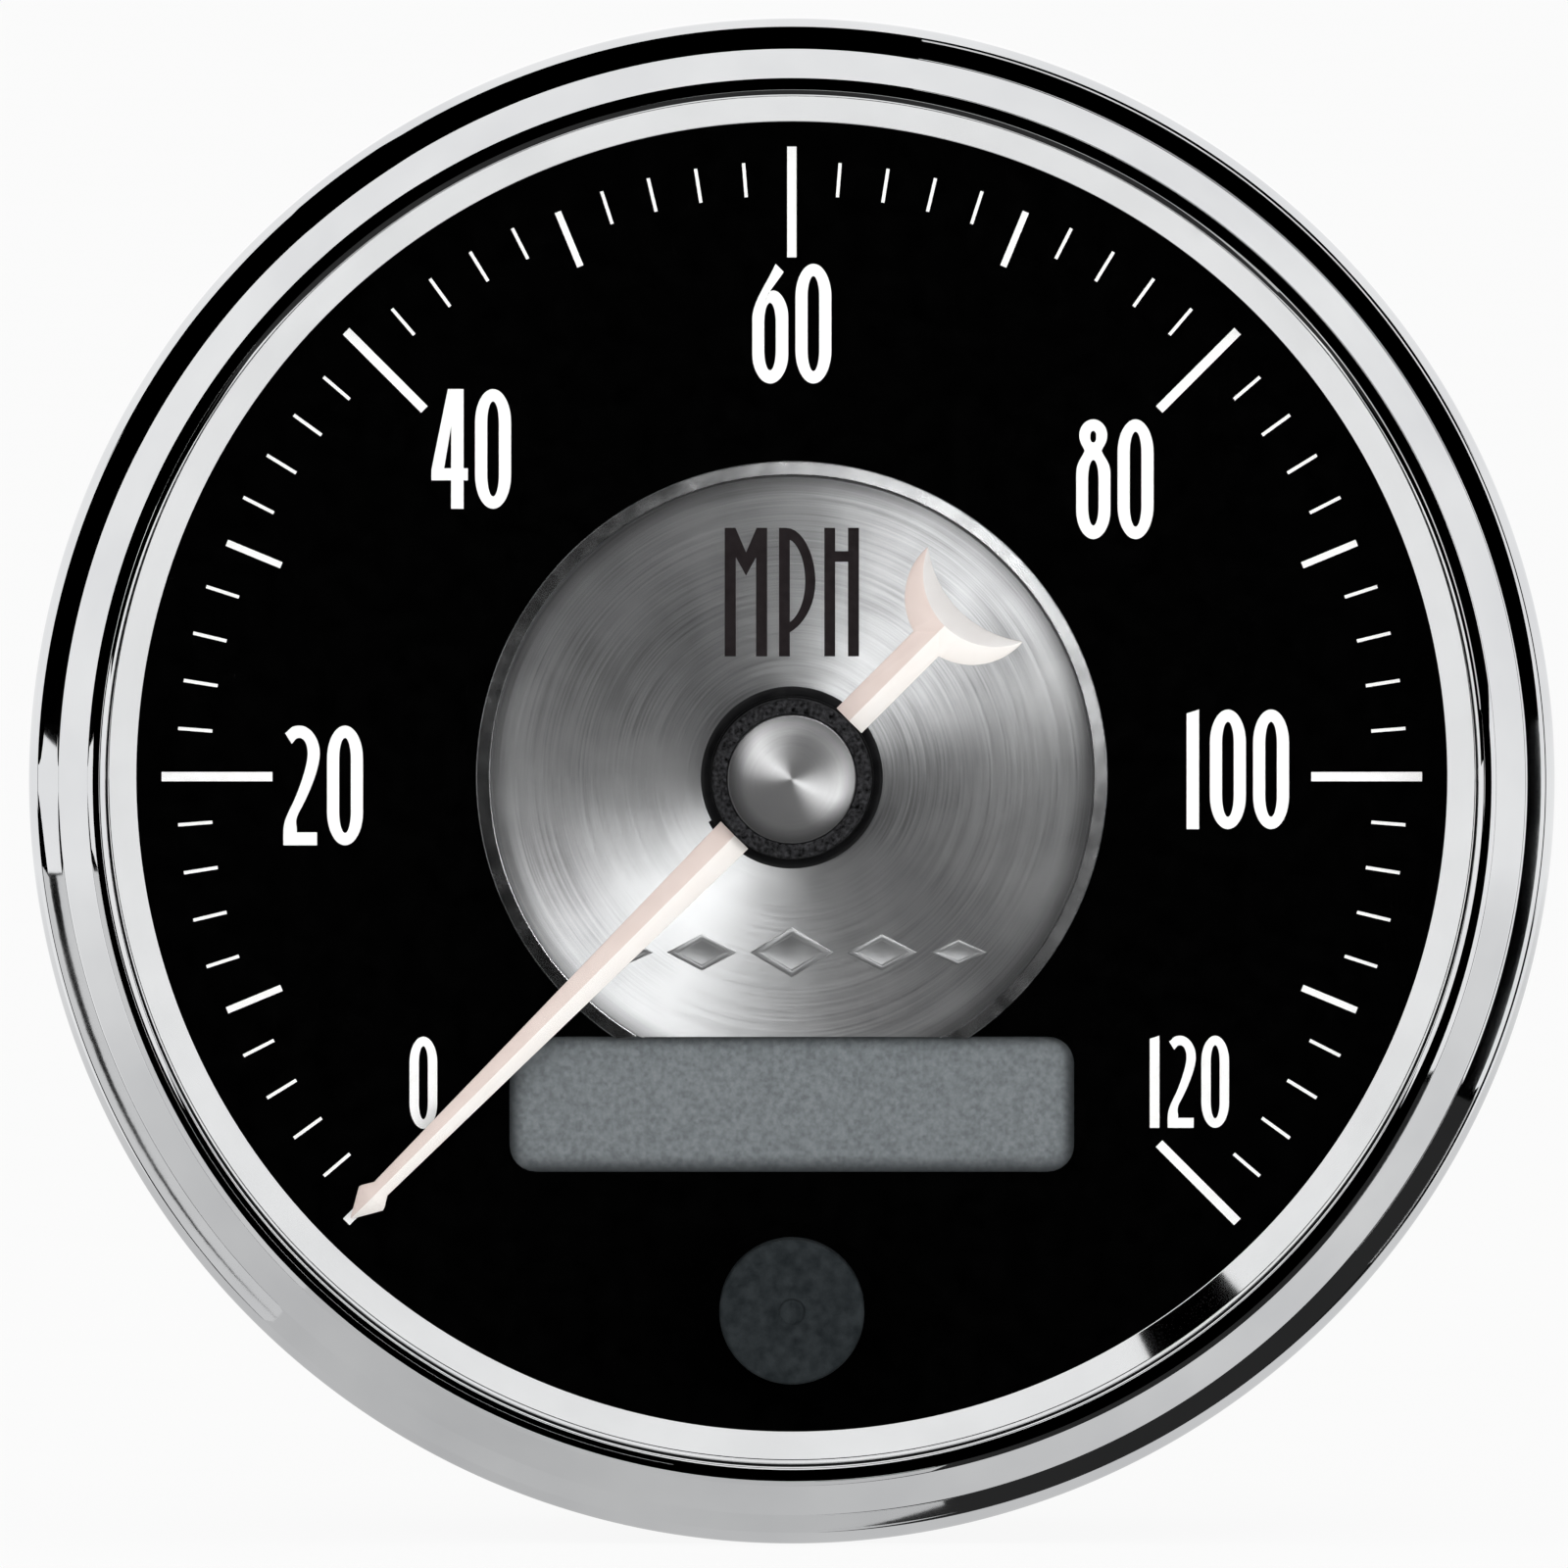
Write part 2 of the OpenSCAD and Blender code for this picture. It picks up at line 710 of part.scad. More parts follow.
// Shrouded socket on the board that comes out through the back of the case
module connector_socket() {
  color("ivory") at(0, socket_y) difference() {
    block(socket_w, socket_h, socket_end, board_back);
    block(socket_w - 2 * socket_wall, socket_h - 2 * socket_wall, socket_end - overcut, socket_floor);
    at(0, socket_h / 2) block(key_w, 2 * socket_wall + overcut, socket_end - overcut, socket_floor);
    pin_row() block(pin_w, pin_w, socket_end - overcut, board_back + overcut);
  }
}

module pin_row() {
  for (i = [0 : pin_count - 1]) at((i - (pin_count - 1) / 2) * pin_pitch, 0) children();
}

module connector_pins() {
  color("gold") at(0, socket_y) pin_row() block(pin_w, pin_w, socket_floor - pin_proud, board_back);
}

// Reset button

module reset_switch_body() {
  color([0.15, 0.15, 0.15]) at(0, button_y) difference() {
    block(switch_w, switch_w, board_z, board_z + switch_h);
    rod(plunger_r + running, board_z + switch_h - plunger_depth - button_travel - loose,
        board_z + switch_h + overcut);
  }
}

module reset_switch_plunger() {
  color("ivory") at(0, button_y) rod(plunger_r, board_z + switch_h - plunger_depth, plunger_top);
}

// Push button with a flange behind the glass, a stem down to the switch and a shallow dished face
module reset_button() {
  edge = 0.5;
  dish = 0.25;
  color([0.13, 0.14, 0.15]) at(0, button_y) rotate_extrude() polygon(concat(
    [[0, plunger_top], [button_stem_r, plunger_top],
     [button_stem_r, button_flange_top - button_flange_t],
     [button_flange_r, button_flange_top - button_flange_t], [button_flange_r, button_flange_top],
     [button_r, button_flange_top]],
    arc([button_r - edge, button_top - edge], edge, 0, 90, 6),
    [[button_gate_r * 2, button_top - dish], [button_gate_r, button_top - dish],
     [button_gate_r * 0.8, button_top - dish - edge / 4], [0, button_top - dish - edge / 4]]));
}

// Movement

module motor_outline(inset, z0, z1) {
  slab(rounded_box(-motor_half_w + inset, motor_low + inset, motor_half_w - inset, motor_high - inset,
                   motor_corner - inset), z0, z1);
}

module axle_places() {
  at(0, idler_y) children();
  at(0, rotor_y) children();
}

// Rear half of the movement's housing, with bosses for the axles and feet for the stator
module motor_base() {
  spindle_boss_top = idler_wheel_z - loose;
  color("white") difference() {
    union() {
      difference() {
        motor_outline(0, board_z, motor_split);
        motor_outline(motor_wall, motor_floor, motor_split + overcut);
      }
      rod(collar_r, motor_floor - motor_wall / 2, spindle_boss_top, $fn = 32);
      at(0, idler_y) rod(collar_r, motor_floor - motor_wall / 2, idler_wheel_z - loose, $fn = 32);
      at(0, rotor_y) rod(collar_r, motor_floor - motor_wall / 2, rotor_z - loose, $fn = 32);
      for (side = [-1, 1]) for (y = [yoke_low + limb_w / 2, rotor_y + stator_foot_y])
        at(side * limb_x, y) rod(limb_w / 2, motor_floor - motor_wall / 2, stator_z, $fn = 32);
    }
    rod(spindle_r + running, motor_floor, spindle_boss_top + overcut, $fn = 32);
    axle_places() rod(axle_r + fit, motor_floor, idler_wheel_z, $fn = 32);
    for (side = [-1, 1]) for (y = motor_pin_ys)
      at(side * motor_pin_x, y) rod(motor_pin_r + fit, board_z - overcut, motor_split, $fn = 32);
  }
}

module motor_cover() {
  color("white") difference() {
    union() {
      difference() {
        motor_outline(0, motor_split, motor_top);
        motor_outline(motor_wall, motor_split - overcut, motor_roof);
      }
      at(0, rotor_y)
        rod(collar_r, idler_wheel_z + wheel_t + level_gap, motor_roof + motor_wall / 2, $fn = 32);
    }
    rod(bushing_r + fit, motor_roof - overcut, motor_top + overcut, $fn = 48);
    axle_places() rod(axle_r + fit, motor_split, motor_roof + motor_wall / 2, $fn = 32);
  }
}

// Terminals that carry the movement on the board
module motor_pins() {
  color("gold") for (side = [-1, 1]) for (y = motor_pin_ys)
    at(side * motor_pin_x, y) rod(motor_pin_r, board_back - motor_wall, stator_mid, $fn = 32);
}

// Iron frame that runs through both coils and round the rotor
module stator_core() {
  outer_x = limb_x + limb_w / 2;
  inner_x = limb_x - limb_w / 2;
  top_yoke = rotor_y - magnet_r - rotor_gap - yoke_w;
  top_edge = rotor_y + magnet_r + rotor_gap + yoke_w;
  color("gray") difference() {
    slab([[-outer_x, yoke_low], [outer_x, yoke_low], [outer_x, top_edge], [-outer_x, top_edge]],
         stator_z, stator_z + stator_t);
    slab([[-inner_x, yoke_low + limb_w], [inner_x, yoke_low + limb_w],
          [inner_x, top_yoke], [-inner_x, top_yoke]],
         stator_z - overcut, stator_z + stator_t + overcut);
    at(0, rotor_y) rod(magnet_r + rotor_gap, stator_z - overcut, stator_z + stator_t + overcut);
  }
}

// Lays a piece drawn along +Z along each limb of the stator
module on_limbs() {
  for (side = [-1, 1])
    translate([side * limb_x, coil_low, stator_mid]) rotate([-90, 0, 0]) children();
}

module coil_bobbins() {
  length = coil_high - coil_low;
  color("ivory") on_limbs() difference() {
    union() {
      rod(bobbin_r, 0, length, $fn = 32);
      rod(bobbin_flange_r, 0, bobbin_flange_t, $fn = 32);
      rod(bobbin_flange_r, length - bobbin_flange_t, length, $fn = 32);
    }
    block(limb_w + 2 * fit, stator_t + 2 * fit, -overcut, length + overcut);
  }
}

module coil_windings() {
  color("peru") on_limbs()
    tube(winding_r, bobbin_r + fit, bobbin_flange_t, coil_high - coil_low - bobbin_flange_t);
}

module rotor_magnet() {
  color("dimgray") at(0, rotor_y) tube(magnet_r, axle_r + running, rotor_z, rotor_z + magnet_h);
}

module rotor_pinion() {
  top = idler_wheel_z + wheel_t + level_gap / 2;
  color("ivory") at(0, rotor_y) difference() {
    union() {
      rod(collar_r, rotor_pinion_z, idler_wheel_z - level_gap / 2, $fn = 32);
      gear(pinion_teeth, pinion_shift, idler_wheel_z - level_gap / 2, top, -90 + 180 / pinion_teeth);
    }
    rod(axle_r + running, rotor_pinion_z - overcut, top + overcut, $fn = 32);
  }
}

module axle(y) {
  color("silver") at(0, y) rod(axle_r, motor_floor, motor_roof + motor_wall / 2, $fn = 32);
}

module rotor_pin() {
  axle(rotor_y);
}

module idler_pin() {
  axle(idler_y);
}

// Wheel driven by the rotor, moulded in one piece with the pinion that drives the output wheel
module idler_gear() {
  wheel_top = idler_wheel_z + wheel_t;
  top = output_wheel_z + wheel_t + level_gap / 2;
  color("ivory") at(0, idler_y) difference() {
    union() {
      gear(wheel_teeth, -pinion_shift, idler_wheel_z, wheel_top, 90);
      rod(collar_r, wheel_top - wheel_t / 2, output_wheel_z - level_gap / 2, $fn = 32);
      gear(pinion_teeth, pinion_shift, output_wheel_z - level_gap / 2, top, -90 + 180 / pinion_teeth);
    }
    rod(axle_r + running, idler_wheel_z - overcut, top + overcut, $fn = 32);
  }
}

module output_gear() {
  top = output_wheel_z + output_hub_t;
  color("ivory") difference() {
    union() {
      gear(wheel_teeth, -pinion_shift, output_wheel_z, output_wheel_z + wheel_t, 90);
      rod(output_hub_r, output_wheel_z + wheel_t / 2, top, $fn = 48);
    }
    rod(spindle_r + fit, output_wheel_z - overcut, top + overcut, $fn = 32);
  }
}

module spindle_bushing() {
  color("goldenrod") difference() {
    union() {
      rod(bushing_r, motor_roof, motor_top, $fn = 48);
      rod(bushing_flange_r, motor_top, motor_top + bushing_flange_t, $fn = 48);
    }
    rod(spindle_r + running, motor_roof - overcut, motor_top + bushing_flange_t + overcut, $fn = 32);
  }
}

module spindle() {
  color("silver") rod(spindle_r, motor_floor, hub_cover_z + hub_cover_t / 2, $fn = 32);
}

// Pointer

module hub_base() {
  color([0.05, 0.05, 0.05]) difference() {
    rod(hub_base_r, hub_z, pointer_z);
    rod(spindle_r + fit, hub_z - overcut, pointer_z + overcut, $fn = 32);
  }
}

// Cross-section of the blade: upright edges under a roof of constant slope
function roof_section(r, half_w) =
  let (eave = pointer_z + pointer_edge)
  [[r, -half_w, pointer_z], [r, half_w, pointer_z], [r, half_w, eave],
   [r, 0, eave + roof_slope * half_w], [r, -half_w, eave]];

// Arc through both tips of the crescent that dips towards the hub by the given depth
function horn_arc(depth, t) =
  let (radius = (crescent_half ^ 2 + depth ^ 2) / (2 * depth),
       half_angle = atan2(crescent_half, radius - depth))
  [crescent_x - depth + radius - radius * cos(t * half_angle), radius * sin(t * half_angle)];
function horn_section(t) =
  let (outer = horn_arc(crescent_hub_side, t),
       ridge = horn_arc(crescent_ridge, t),
       inner = horn_arc(crescent_hollow, t),
       eave = pointer_z + pointer_edge,
       peak = eave + roof_slope * norm(inner - outer) / 2)
  [[outer[0], outer[1], pointer_z], [outer[0], outer[1], eave], [ridge[0], ridge[1], peak],
   [inner[0], inner[1], eave], [inner[0], inner[1], pointer_z]];

// Faceted blade with a spade tip, a crescent tail and a flat plate held in the hub
module pointer() {
  root_r = hub_cover_r + running;
  widest_r = neck_r + spade_len / 3;
  color("linen") rotate(zero_angle) union() {
    difference() {
      rod(root_r + 2 * running, pointer_z, pointer_z + hub_plate_t);
      rod(spindle_r + fit, pointer_z - overcut, pointer_z + hub_plate_t + overcut, $fn = 32);
    }
    loft([roof_section(root_r, blade_root_w), roof_section(neck_r, blade_neck_w),
          roof_section(widest_r - spade_len / 12, spade_w - blade_neck_w / 8),
          roof_section(widest_r, spade_w), roof_section(tip_r, tip_blunt_w)]);
    rotate(180) {
      loft([roof_section(root_r, tail_w), roof_section(crescent_x - crescent_ridge, tail_w)]);
      loft([for (i = [-horn_steps : horn_steps]) horn_section(i / horn_steps * horn_cut)]);
    }
  }
}

module hub_cover() {
  recess_z = hub_top - hub_cap_recess;
  bevel = 0.25;
  color([0.05, 0.05, 0.05]) difference() {
    rotate_extrude() polygon([
      [0, hub_cover_z], [hub_cover_r, hub_cover_z], [hub_cover_r, hub_top - bevel],
      [hub_cover_r - bevel, hub_top], [hub_cap_r + fit, hub_top], [hub_cap_r + fit, recess_z],
      [0, recess_z]]);
    rod(spindle_r + fit, hub_cover_z - overcut, hub_cover_z + hub_cover_t / 2, $fn = 32);
  }
}

// Spun metal cap with a low crown
module hub_cap() {
  base = hub_top - hub_cap_recess;
  color("silver") rotate_extrude() polygon([
    [0, base], [hub_cap_r, base], [hub_cap_r, base + hub_cap_t], [0, base + hub_cap_t + hub_cap_crown]]);
}

// Case and clamp

// Deep can with posts for the board, a square hole for the socket and a spigot round its mouth
module rear_case() {
  color([0.08, 0.08, 0.08]) difference() {
    union() {
      rotate_extrude() polygon([
        [0, back_out], [case_r - back_chamfer, back_out], [case_r, back_out + back_chamfer],
        [case_r, 0], [spigot_r, 0], [spigot_r, trim_z],
        [case_bore_r, trim_z], [case_bore_r, back_in], [0, back_in]]);
      around(screw_circle_r, screw_angles) rod(post_r, back_in - back_wall / 2, board_back, $fn = 48);
    }
    around(screw_circle_r, screw_angles)
      rod(screw_r + fit, board_z - screw_len - loose, board_back + overcut, $fn = 32);
    stud_places() rod(stud_r + fit, back_out - overcut, back_in + overcut, $fn = 48);
    at(0, socket_y) block(socket_w + loose, socket_h + loose, back_out - overcut, back_in + overcut);
    at(0, vent_y) rod(vent_r, back_out - overcut, back_in + overcut, $fn = 32);
  }
}

// Ring pressed on to the spigot, with the flange that the bezel is crimped round
module front_ring() {
  color([0.08, 0.08, 0.08]) rotate_extrude() polygon([
    [spigot_r + fit, 0], [crimp_land_r, 0], [crimp_land_r, flange_z], [flange_r, flange_z],
    [flange_r, trim_z], [spigot_r + fit, trim_z]]);
}

module stud_places() {
  for (side = [-1, 1]) at(side * stud_spacing / 2, 0) children();
}

module mounting_studs() {
  color("lightsteelblue") stud_places() {
    rod(stud_head_r, back_in, back_in + stud_head_t, $fn = 48);
    rod(stud_r, stud_end, back_in + stud_head_t / 2, $fn = 48);
  }
}

// Bent strap whose legs reach forward over the case to the back of the panel
module mounting_bracket() {
  outer_x = leg_x + strap_t;
  outer_bend = bend_r + strap_t;
  color("lightsteelblue") difference() {
    rotate([90, 0, 0]) linear_extrude(height = strap_w, center = true) polygon(concat(
      [[outer_x, -panel_space]],
      arc([outer_x - outer_bend, strap_back + outer_bend], outer_bend, 0, -90),
      arc([outer_bend - outer_x, strap_back + outer_bend], outer_bend, -90, -180),
      [[-outer_x, -panel_space], [-leg_x, -panel_space]],
      arc([bend_r - leg_x, strap_z + bend_r], bend_r, -180, -90),
      arc([leg_x - bend_r, strap_z + bend_r], bend_r, -90, 0),
      [[leg_x, -panel_space]]));
    stud_places() rod(stud_r + loose, strap_back - overcut, strap_z + overcut, $fn = 48);
  }
}

// Split spring washers
module lock_washers() {
  color("silver") stud_places() difference() {
    tube(washer_r, stud_r + loose, washer_z, strap_back);
    translate([0, -washer_slit / 2, washer_z - overcut])
      cube([washer_r + overcut, washer_slit, washer_t + 2 * overcut]);
  }
}

module clamp_nuts() {
  color("lightsteelblue") stud_places() difference() {
    translate([0, 0, nut_z]) cylinder(r = nut_flats / 2 / cos(30), h = nut_t, $fn = 6);
    rod(stud_r + thread_gap, nut_z - overcut, washer_z + overcut, $fn = 48);
  }
}

in_dash() {
  bezel();
  lens();
  lens_gasket();
  trim_ring();
  dial_plate();
  dial_marks();
  center_medallion();
  medallion_ornament();
  lcd_panel();
  lcd_holder();
  lcd_backlight();
  lcd_pins();
  light_tray();
  circuit_board();
  board_screws();
  dial_leds();
  processor_chip();
  driver_chip();
  voltage_regulator();
  timing_crystal();
  filter_capacitors();
  connector_socket();
  connector_pins();
  reset_switch_body();
  reset_switch_plunger();
  reset_button();
  motor_base();
  motor_cover();
  motor_pins();
  stator_core();
  coil_bobbins();
  coil_windings();
  rotor_magnet();
  rotor_pinion();
  rotor_pin();
  idler_gear();
  idler_pin();
  output_gear();
  spindle_bushing();
  spindle();
  hub_base();
  pointer();
  hub_cover();
  hub_cap();
  rear_case();
  front_ring();
  mounting_studs();
  mounting_bracket();
  lock_washers();
  clamp_nuts();
}
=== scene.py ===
import math

import bpy
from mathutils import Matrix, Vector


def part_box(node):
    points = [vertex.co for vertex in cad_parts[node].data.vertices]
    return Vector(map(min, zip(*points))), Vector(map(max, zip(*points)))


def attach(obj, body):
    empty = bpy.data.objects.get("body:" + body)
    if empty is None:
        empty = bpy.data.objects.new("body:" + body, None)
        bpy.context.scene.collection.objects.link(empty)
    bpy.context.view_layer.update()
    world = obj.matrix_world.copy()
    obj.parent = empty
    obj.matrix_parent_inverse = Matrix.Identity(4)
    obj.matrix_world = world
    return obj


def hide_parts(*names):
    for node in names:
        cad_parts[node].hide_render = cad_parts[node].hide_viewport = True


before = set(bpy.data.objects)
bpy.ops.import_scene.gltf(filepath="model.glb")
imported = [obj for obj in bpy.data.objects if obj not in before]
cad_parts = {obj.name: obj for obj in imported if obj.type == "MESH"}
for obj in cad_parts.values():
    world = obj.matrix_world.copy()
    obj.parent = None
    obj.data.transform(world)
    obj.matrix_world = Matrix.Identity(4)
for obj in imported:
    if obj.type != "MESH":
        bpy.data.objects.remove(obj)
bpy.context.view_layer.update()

# Rear case and front ring
# The case is a deep can moulded in black nylon, with posts for the board and a square hole for the socket.
# The front ring is a second moulding, pressed on to the spigot of the can to carry the bezel.
mm = 0.001
noise_span = (0.3, 0.7)
weld_gap, flat_angle, edge_angle, shading_angle = 0.002, 0.5, 40, 32
case_edge = 0.25


def shade(code):
    """A colour written as on a paint chart, six hex digits, in Blender's own light values."""
    parts = [int(code[i:i + 2], 16) / 255 for i in (0, 2, 4)]
    return (*[p / 12.92 if p < 0.04045 else ((p + 0.055) / 1.055) ** 2.4 for p in parts], 1)


def feed(made, socket, value):
    """Set a socket, or wire it where the value is another node's output."""
    if isinstance(value, bpy.types.NodeSocket):
        made.node_tree.links.new(value, socket)
    else:
        socket.default_value = value


def wire(made, kind, *values, **named):
    """Add a node. Values fill its sockets in order, names with a capital fill theirs, others are settings."""
    node = made.node_tree.nodes.new("ShaderNode" + kind)
    for name, value in named.items():
        if name[0].islower():
            setattr(node, name, value)
    for name, value in named.items():
        if name[0].isupper():
            feed(made, node.inputs[name.replace("_", " ")], value)
    for number, value in enumerate(values):
        feed(made, node.inputs[number], value)
    return node


def tint(made, amount, first, second):
    """One colour turning into another as the amount goes from 0 to 1."""
    mix = wire(made, "Mix", amount, data_type="RGBA")
    feed(made, mix.inputs[6], first)
    feed(made, mix.inputs[7], second)
    return mix.outputs[2]


def spots(made, size, low, high):
    """Random spots about size millimetres across, as a number from low to high."""
    place = wire(made, "TexCoord").outputs["Object"]
    noise = wire(made, "TexNoise", Vector=place, Scale=1 / (size * mm), Detail=3.0)
    return wire(made, "MapRange", noise.outputs[0], *noise_span, low, high).outputs[0]


def surface_of(made):
    """The main shader of a finish."""
    return made.node_tree.nodes["Principled BSDF"]


def relief(made, depth, height):
    """Raise a finish by depth millimetres where the height is 1."""
    bump = wire(made, "Bump", Strength=1.0, Distance=depth * mm, Height=height)
    feed(made, surface_of(made).inputs["Normal"], bump.outputs[0])


def finish(name, dark, light, *, patch, gloss, grain, depth, metal=0.0, shine=0.5):
    """Two close tones in patches, gloss between two roughnesses and a fine grain, with sizes in millimetres.

    The gloss changes over spots four grains wide."""
    made = bpy.data.materials.new(name)
    made.use_nodes = True
    surface = surface_of(made)
    surface.inputs["Metallic"].default_value = metal
    surface.inputs["Specular IOR Level"].default_value = shine
    tone = tint(made, spots(made, patch, 0, 1), shade(dark), shade(light))
    feed(made, surface.inputs["Base Color"], tone)
    feed(made, surface.inputs["Roughness"], spots(made, 4 * grain, *gloss))
    relief(made, depth, spots(made, grain, 0, 1))
    return made


def dress(made, *nodes):
    """Give solids that stay as they are a finish."""
    for name in nodes:
        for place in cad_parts[name].material_slots:
            place.material = made


def put(piece, made, body, slot, *nodes):
    """Give a finished piece its finish and its body, and hide the nodes that it stands for. The slot is not
    used.
    """
    piece.data.materials.clear()
    piece.data.materials.append(made)
    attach(piece, body)
    if nodes:
        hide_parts(*nodes)


def pick(piece):
    """Select one piece and nothing else."""
    bpy.ops.object.select_all(action="DESELECT")
    piece.select_set(True)
    bpy.context.view_layer.objects.active = piece


def apply_all(piece):
    """Apply the modifiers of the picked piece."""
    for modifier in list(piece.modifiers):
        bpy.ops.object.modifier_apply(modifier=modifier.name)


def smooth(angle):
    """Shade the picked piece smooth wherever its faces meet at less than an angle."""
    bpy.ops.object.shade_smooth_by_angle(angle=math.radians(angle))


def round_edges(piece, width, angle):
    """Round the edges that turn by more than an angle, in two steps."""
    rounding = piece.modifiers.new("rounding", "BEVEL")
    rounding.width = width * mm
    rounding.segments = 2
    rounding.limit_method = "ANGLE"
    rounding.angle_limit = math.radians(angle)
    apply_all(piece)


def eased(node, name, width):
    """A copy of a node with its triangles welded and its edges rounded, as a mould or a press leaves them."""
    piece = bpy.data.objects.new(name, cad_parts[node].data.copy())
    bpy.context.scene.collection.objects.link(piece)
    pick(piece)
    bpy.ops.mesh.customdata_custom_splitnormals_clear()
    bpy.ops.object.mode_set(mode="EDIT")
    bpy.ops.mesh.select_all(action="SELECT")
    bpy.ops.mesh.remove_doubles(threshold=weld_gap * mm)
    bpy.ops.mesh.dissolve_limited(angle_limit=math.radians(flat_angle))
    bpy.ops.object.mode_set(mode="OBJECT")
    round_edges(piece, width, edge_angle)
    smooth(shading_angle)
    return piece


case_plastic = finish("case_plastic", "0E0E0F", "191A1B",
                      patch=3.0, gloss=(0.42, 0.58), grain=0.22, depth=0.012)
moulded_case = eased("rear_case", "moulded_case", case_edge)
put(moulded_case, case_plastic, "gauge_body", "case_plastic", "rear_case")
dress(case_plastic, "front_ring")

# Mounting studs
# Two zinc-plated steel screws with their heads inside the back wall and their thread cut full length.
# Each is a core with a chamfered tip and a ridge wound round it as the thread.
stud_x = 22.0
stud_start, stud_tip, tip_chamfer = -35.2, -62.0, 0.35
stud_head_r, stud_head_t = 3.5, 1.2
thread_r, core_r, thread_pitch = 2.0, 1.62, 0.7
thread_start, thread_turns, thread_steps = -37.2, 34, 20
runout, runout_slope = 0.8, 0.2
ridge_root, ridge_half = core_r - 0.06, 0.44 * thread_pitch
merge_gap = 0.001


def soften(piece, angle):
    """Smooth shading that leaves sharp edges sharp and flat faces flat."""
    pick(piece)
    bpy.ops.mesh.customdata_custom_splitnormals_clear()
    smooth(angle)
    weigh = piece.modifiers.new("weigh", "WEIGHTED_NORMAL")
    weigh.keep_sharp = True
    apply_all(piece)


def begun(add, **settings):
    """Start a piece from a primitive, with everything else deselected."""
    bpy.ops.object.select_all(action="DESELECT")
    add(**settings)
    return bpy.context.object


def open_mesh(kind):
    """Go into edit mode on vertices, edges or faces, with all of them selected."""
    bpy.ops.object.mode_set(mode="EDIT")
    bpy.ops.mesh.select_mode(type=kind)
    bpy.ops.mesh.select_all(action="SELECT")


def close_mesh():
    """Turn all faces outwards and leave edit mode."""
    bpy.ops.mesh.select_all(action="SELECT")
    bpy.ops.mesh.normals_make_consistent(inside=False)
    bpy.ops.object.mode_set(mode="OBJECT")


def spun(name, outline, middle=(0.0, 0.0), steps=192, angle=30):
    """Turn an outline of (radius, distance out) points round a line through middle, square to the dial."""
    piece = begun(bpy.ops.mesh.primitive_plane_add, size=mm)
    piece.name = name
    open_mesh("VERT")
    bpy.ops.mesh.merge(type="CENTER")
    first_r, first_out = outline[0]
    bpy.ops.transform.translate(value=((middle[0] + first_r) * mm, -first_out * mm, middle[1] * mm))
    for (r0, out0), (r1, out1) in zip(outline, outline[1:]):
        step = ((r1 - r0) * mm, (out0 - out1) * mm, 0)
        bpy.ops.mesh.extrude_vertices_move(TRANSFORM_OT_translate={"value": step})
    bpy.ops.mesh.select_all(action="SELECT")
    bpy.ops.mesh.spin(steps=steps, angle=2 * math.pi, axis=(0, 1, 0),
                      center=(middle[0] * mm, 0, middle[1] * mm))
    bpy.ops.mesh.select_all(action="SELECT")
    bpy.ops.mesh.remove_doubles(threshold=merge_gap * mm)
    close_mesh()
    soften(piece, angle)
    return piece


def copied(piece, across=0.0):
    """One more of a piece, with a mesh of its own, moved sideways by some millimetres."""
    twin = piece.copy()
    twin.data = piece.data.copy()
    bpy.context.scene.collection.objects.link(twin)
    twin.location.x = across * mm
    pick(twin)
    bpy.ops.object.transform_apply(location=True, rotation=True, scale=True)
    return twin


def join(name, pieces):
    """Make several meshes one piece."""
    pick(pieces[0])
    for piece in pieces:
        piece.select_set(True)
    bpy.ops.object.join()
    pieces[0].name = name
    pieces[0].data.name = name
    return pieces[0]


core = spun("stud_core", [
    (0, stud_tip), (core_r - tip_chamfer, stud_tip), (core_r, stud_tip + tip_chamfer),
    (core_r, thread_start + runout), (thread_r, thread_start + runout + runout_slope),
    (thread_r, stud_start), (stud_head_r, stud_start), (stud_head_r, stud_start + stud_head_t),
    (0, stud_start + stud_head_t)], (-stud_x, 0), steps=32)

ridge = begun(bpy.ops.mesh.primitive_circle_add, vertices=3, radius=mm)
ridge_corners = [(ridge_root, -ridge_half), (thread_r, 0), (ridge_root, ridge_half)]
for corner, (r, out) in zip(ridge.data.vertices, ridge_corners):
    corner.co = (r * mm, -(thread_start + out) * mm, 0)
winding = ridge.modifiers.new("winding", "SCREW")
winding.axis = "Y"
winding.screw_offset = thread_pitch * mm
winding.iterations = thread_turns
winding.steps = winding.render_steps = thread_steps
winding.use_merge_vertices = False
apply_all(ridge)
bpy.ops.object.mode_set(mode="EDIT")
bpy.ops.mesh.select_all(action="DESELECT")
bpy.ops.mesh.select_mode(type="EDGE")
bpy.ops.mesh.select_non_manifold()
bpy.ops.mesh.edge_face_add()
bpy.ops.mesh.select_mode(type="VERT")
bpy.ops.mesh.select_all(action="SELECT")
bpy.ops.transform.translate(value=(-stud_x * mm, 0, 0))
close_mesh()
smooth(angle=40)

zinc_steel = finish("zinc_steel", "9CA0A3", "B5B8B8",
                    patch=2.6, gloss=(0.26, 0.4), grain=0.3, depth=0.003, metal=1.0)
studs = join("threaded_studs", [core, ridge, copied(core, 2 * stud_x), copied(ridge, 2 * stud_x)])
put(studs, zinc_steel, "gauge_body", "zinc_steel", "mounting_studs")

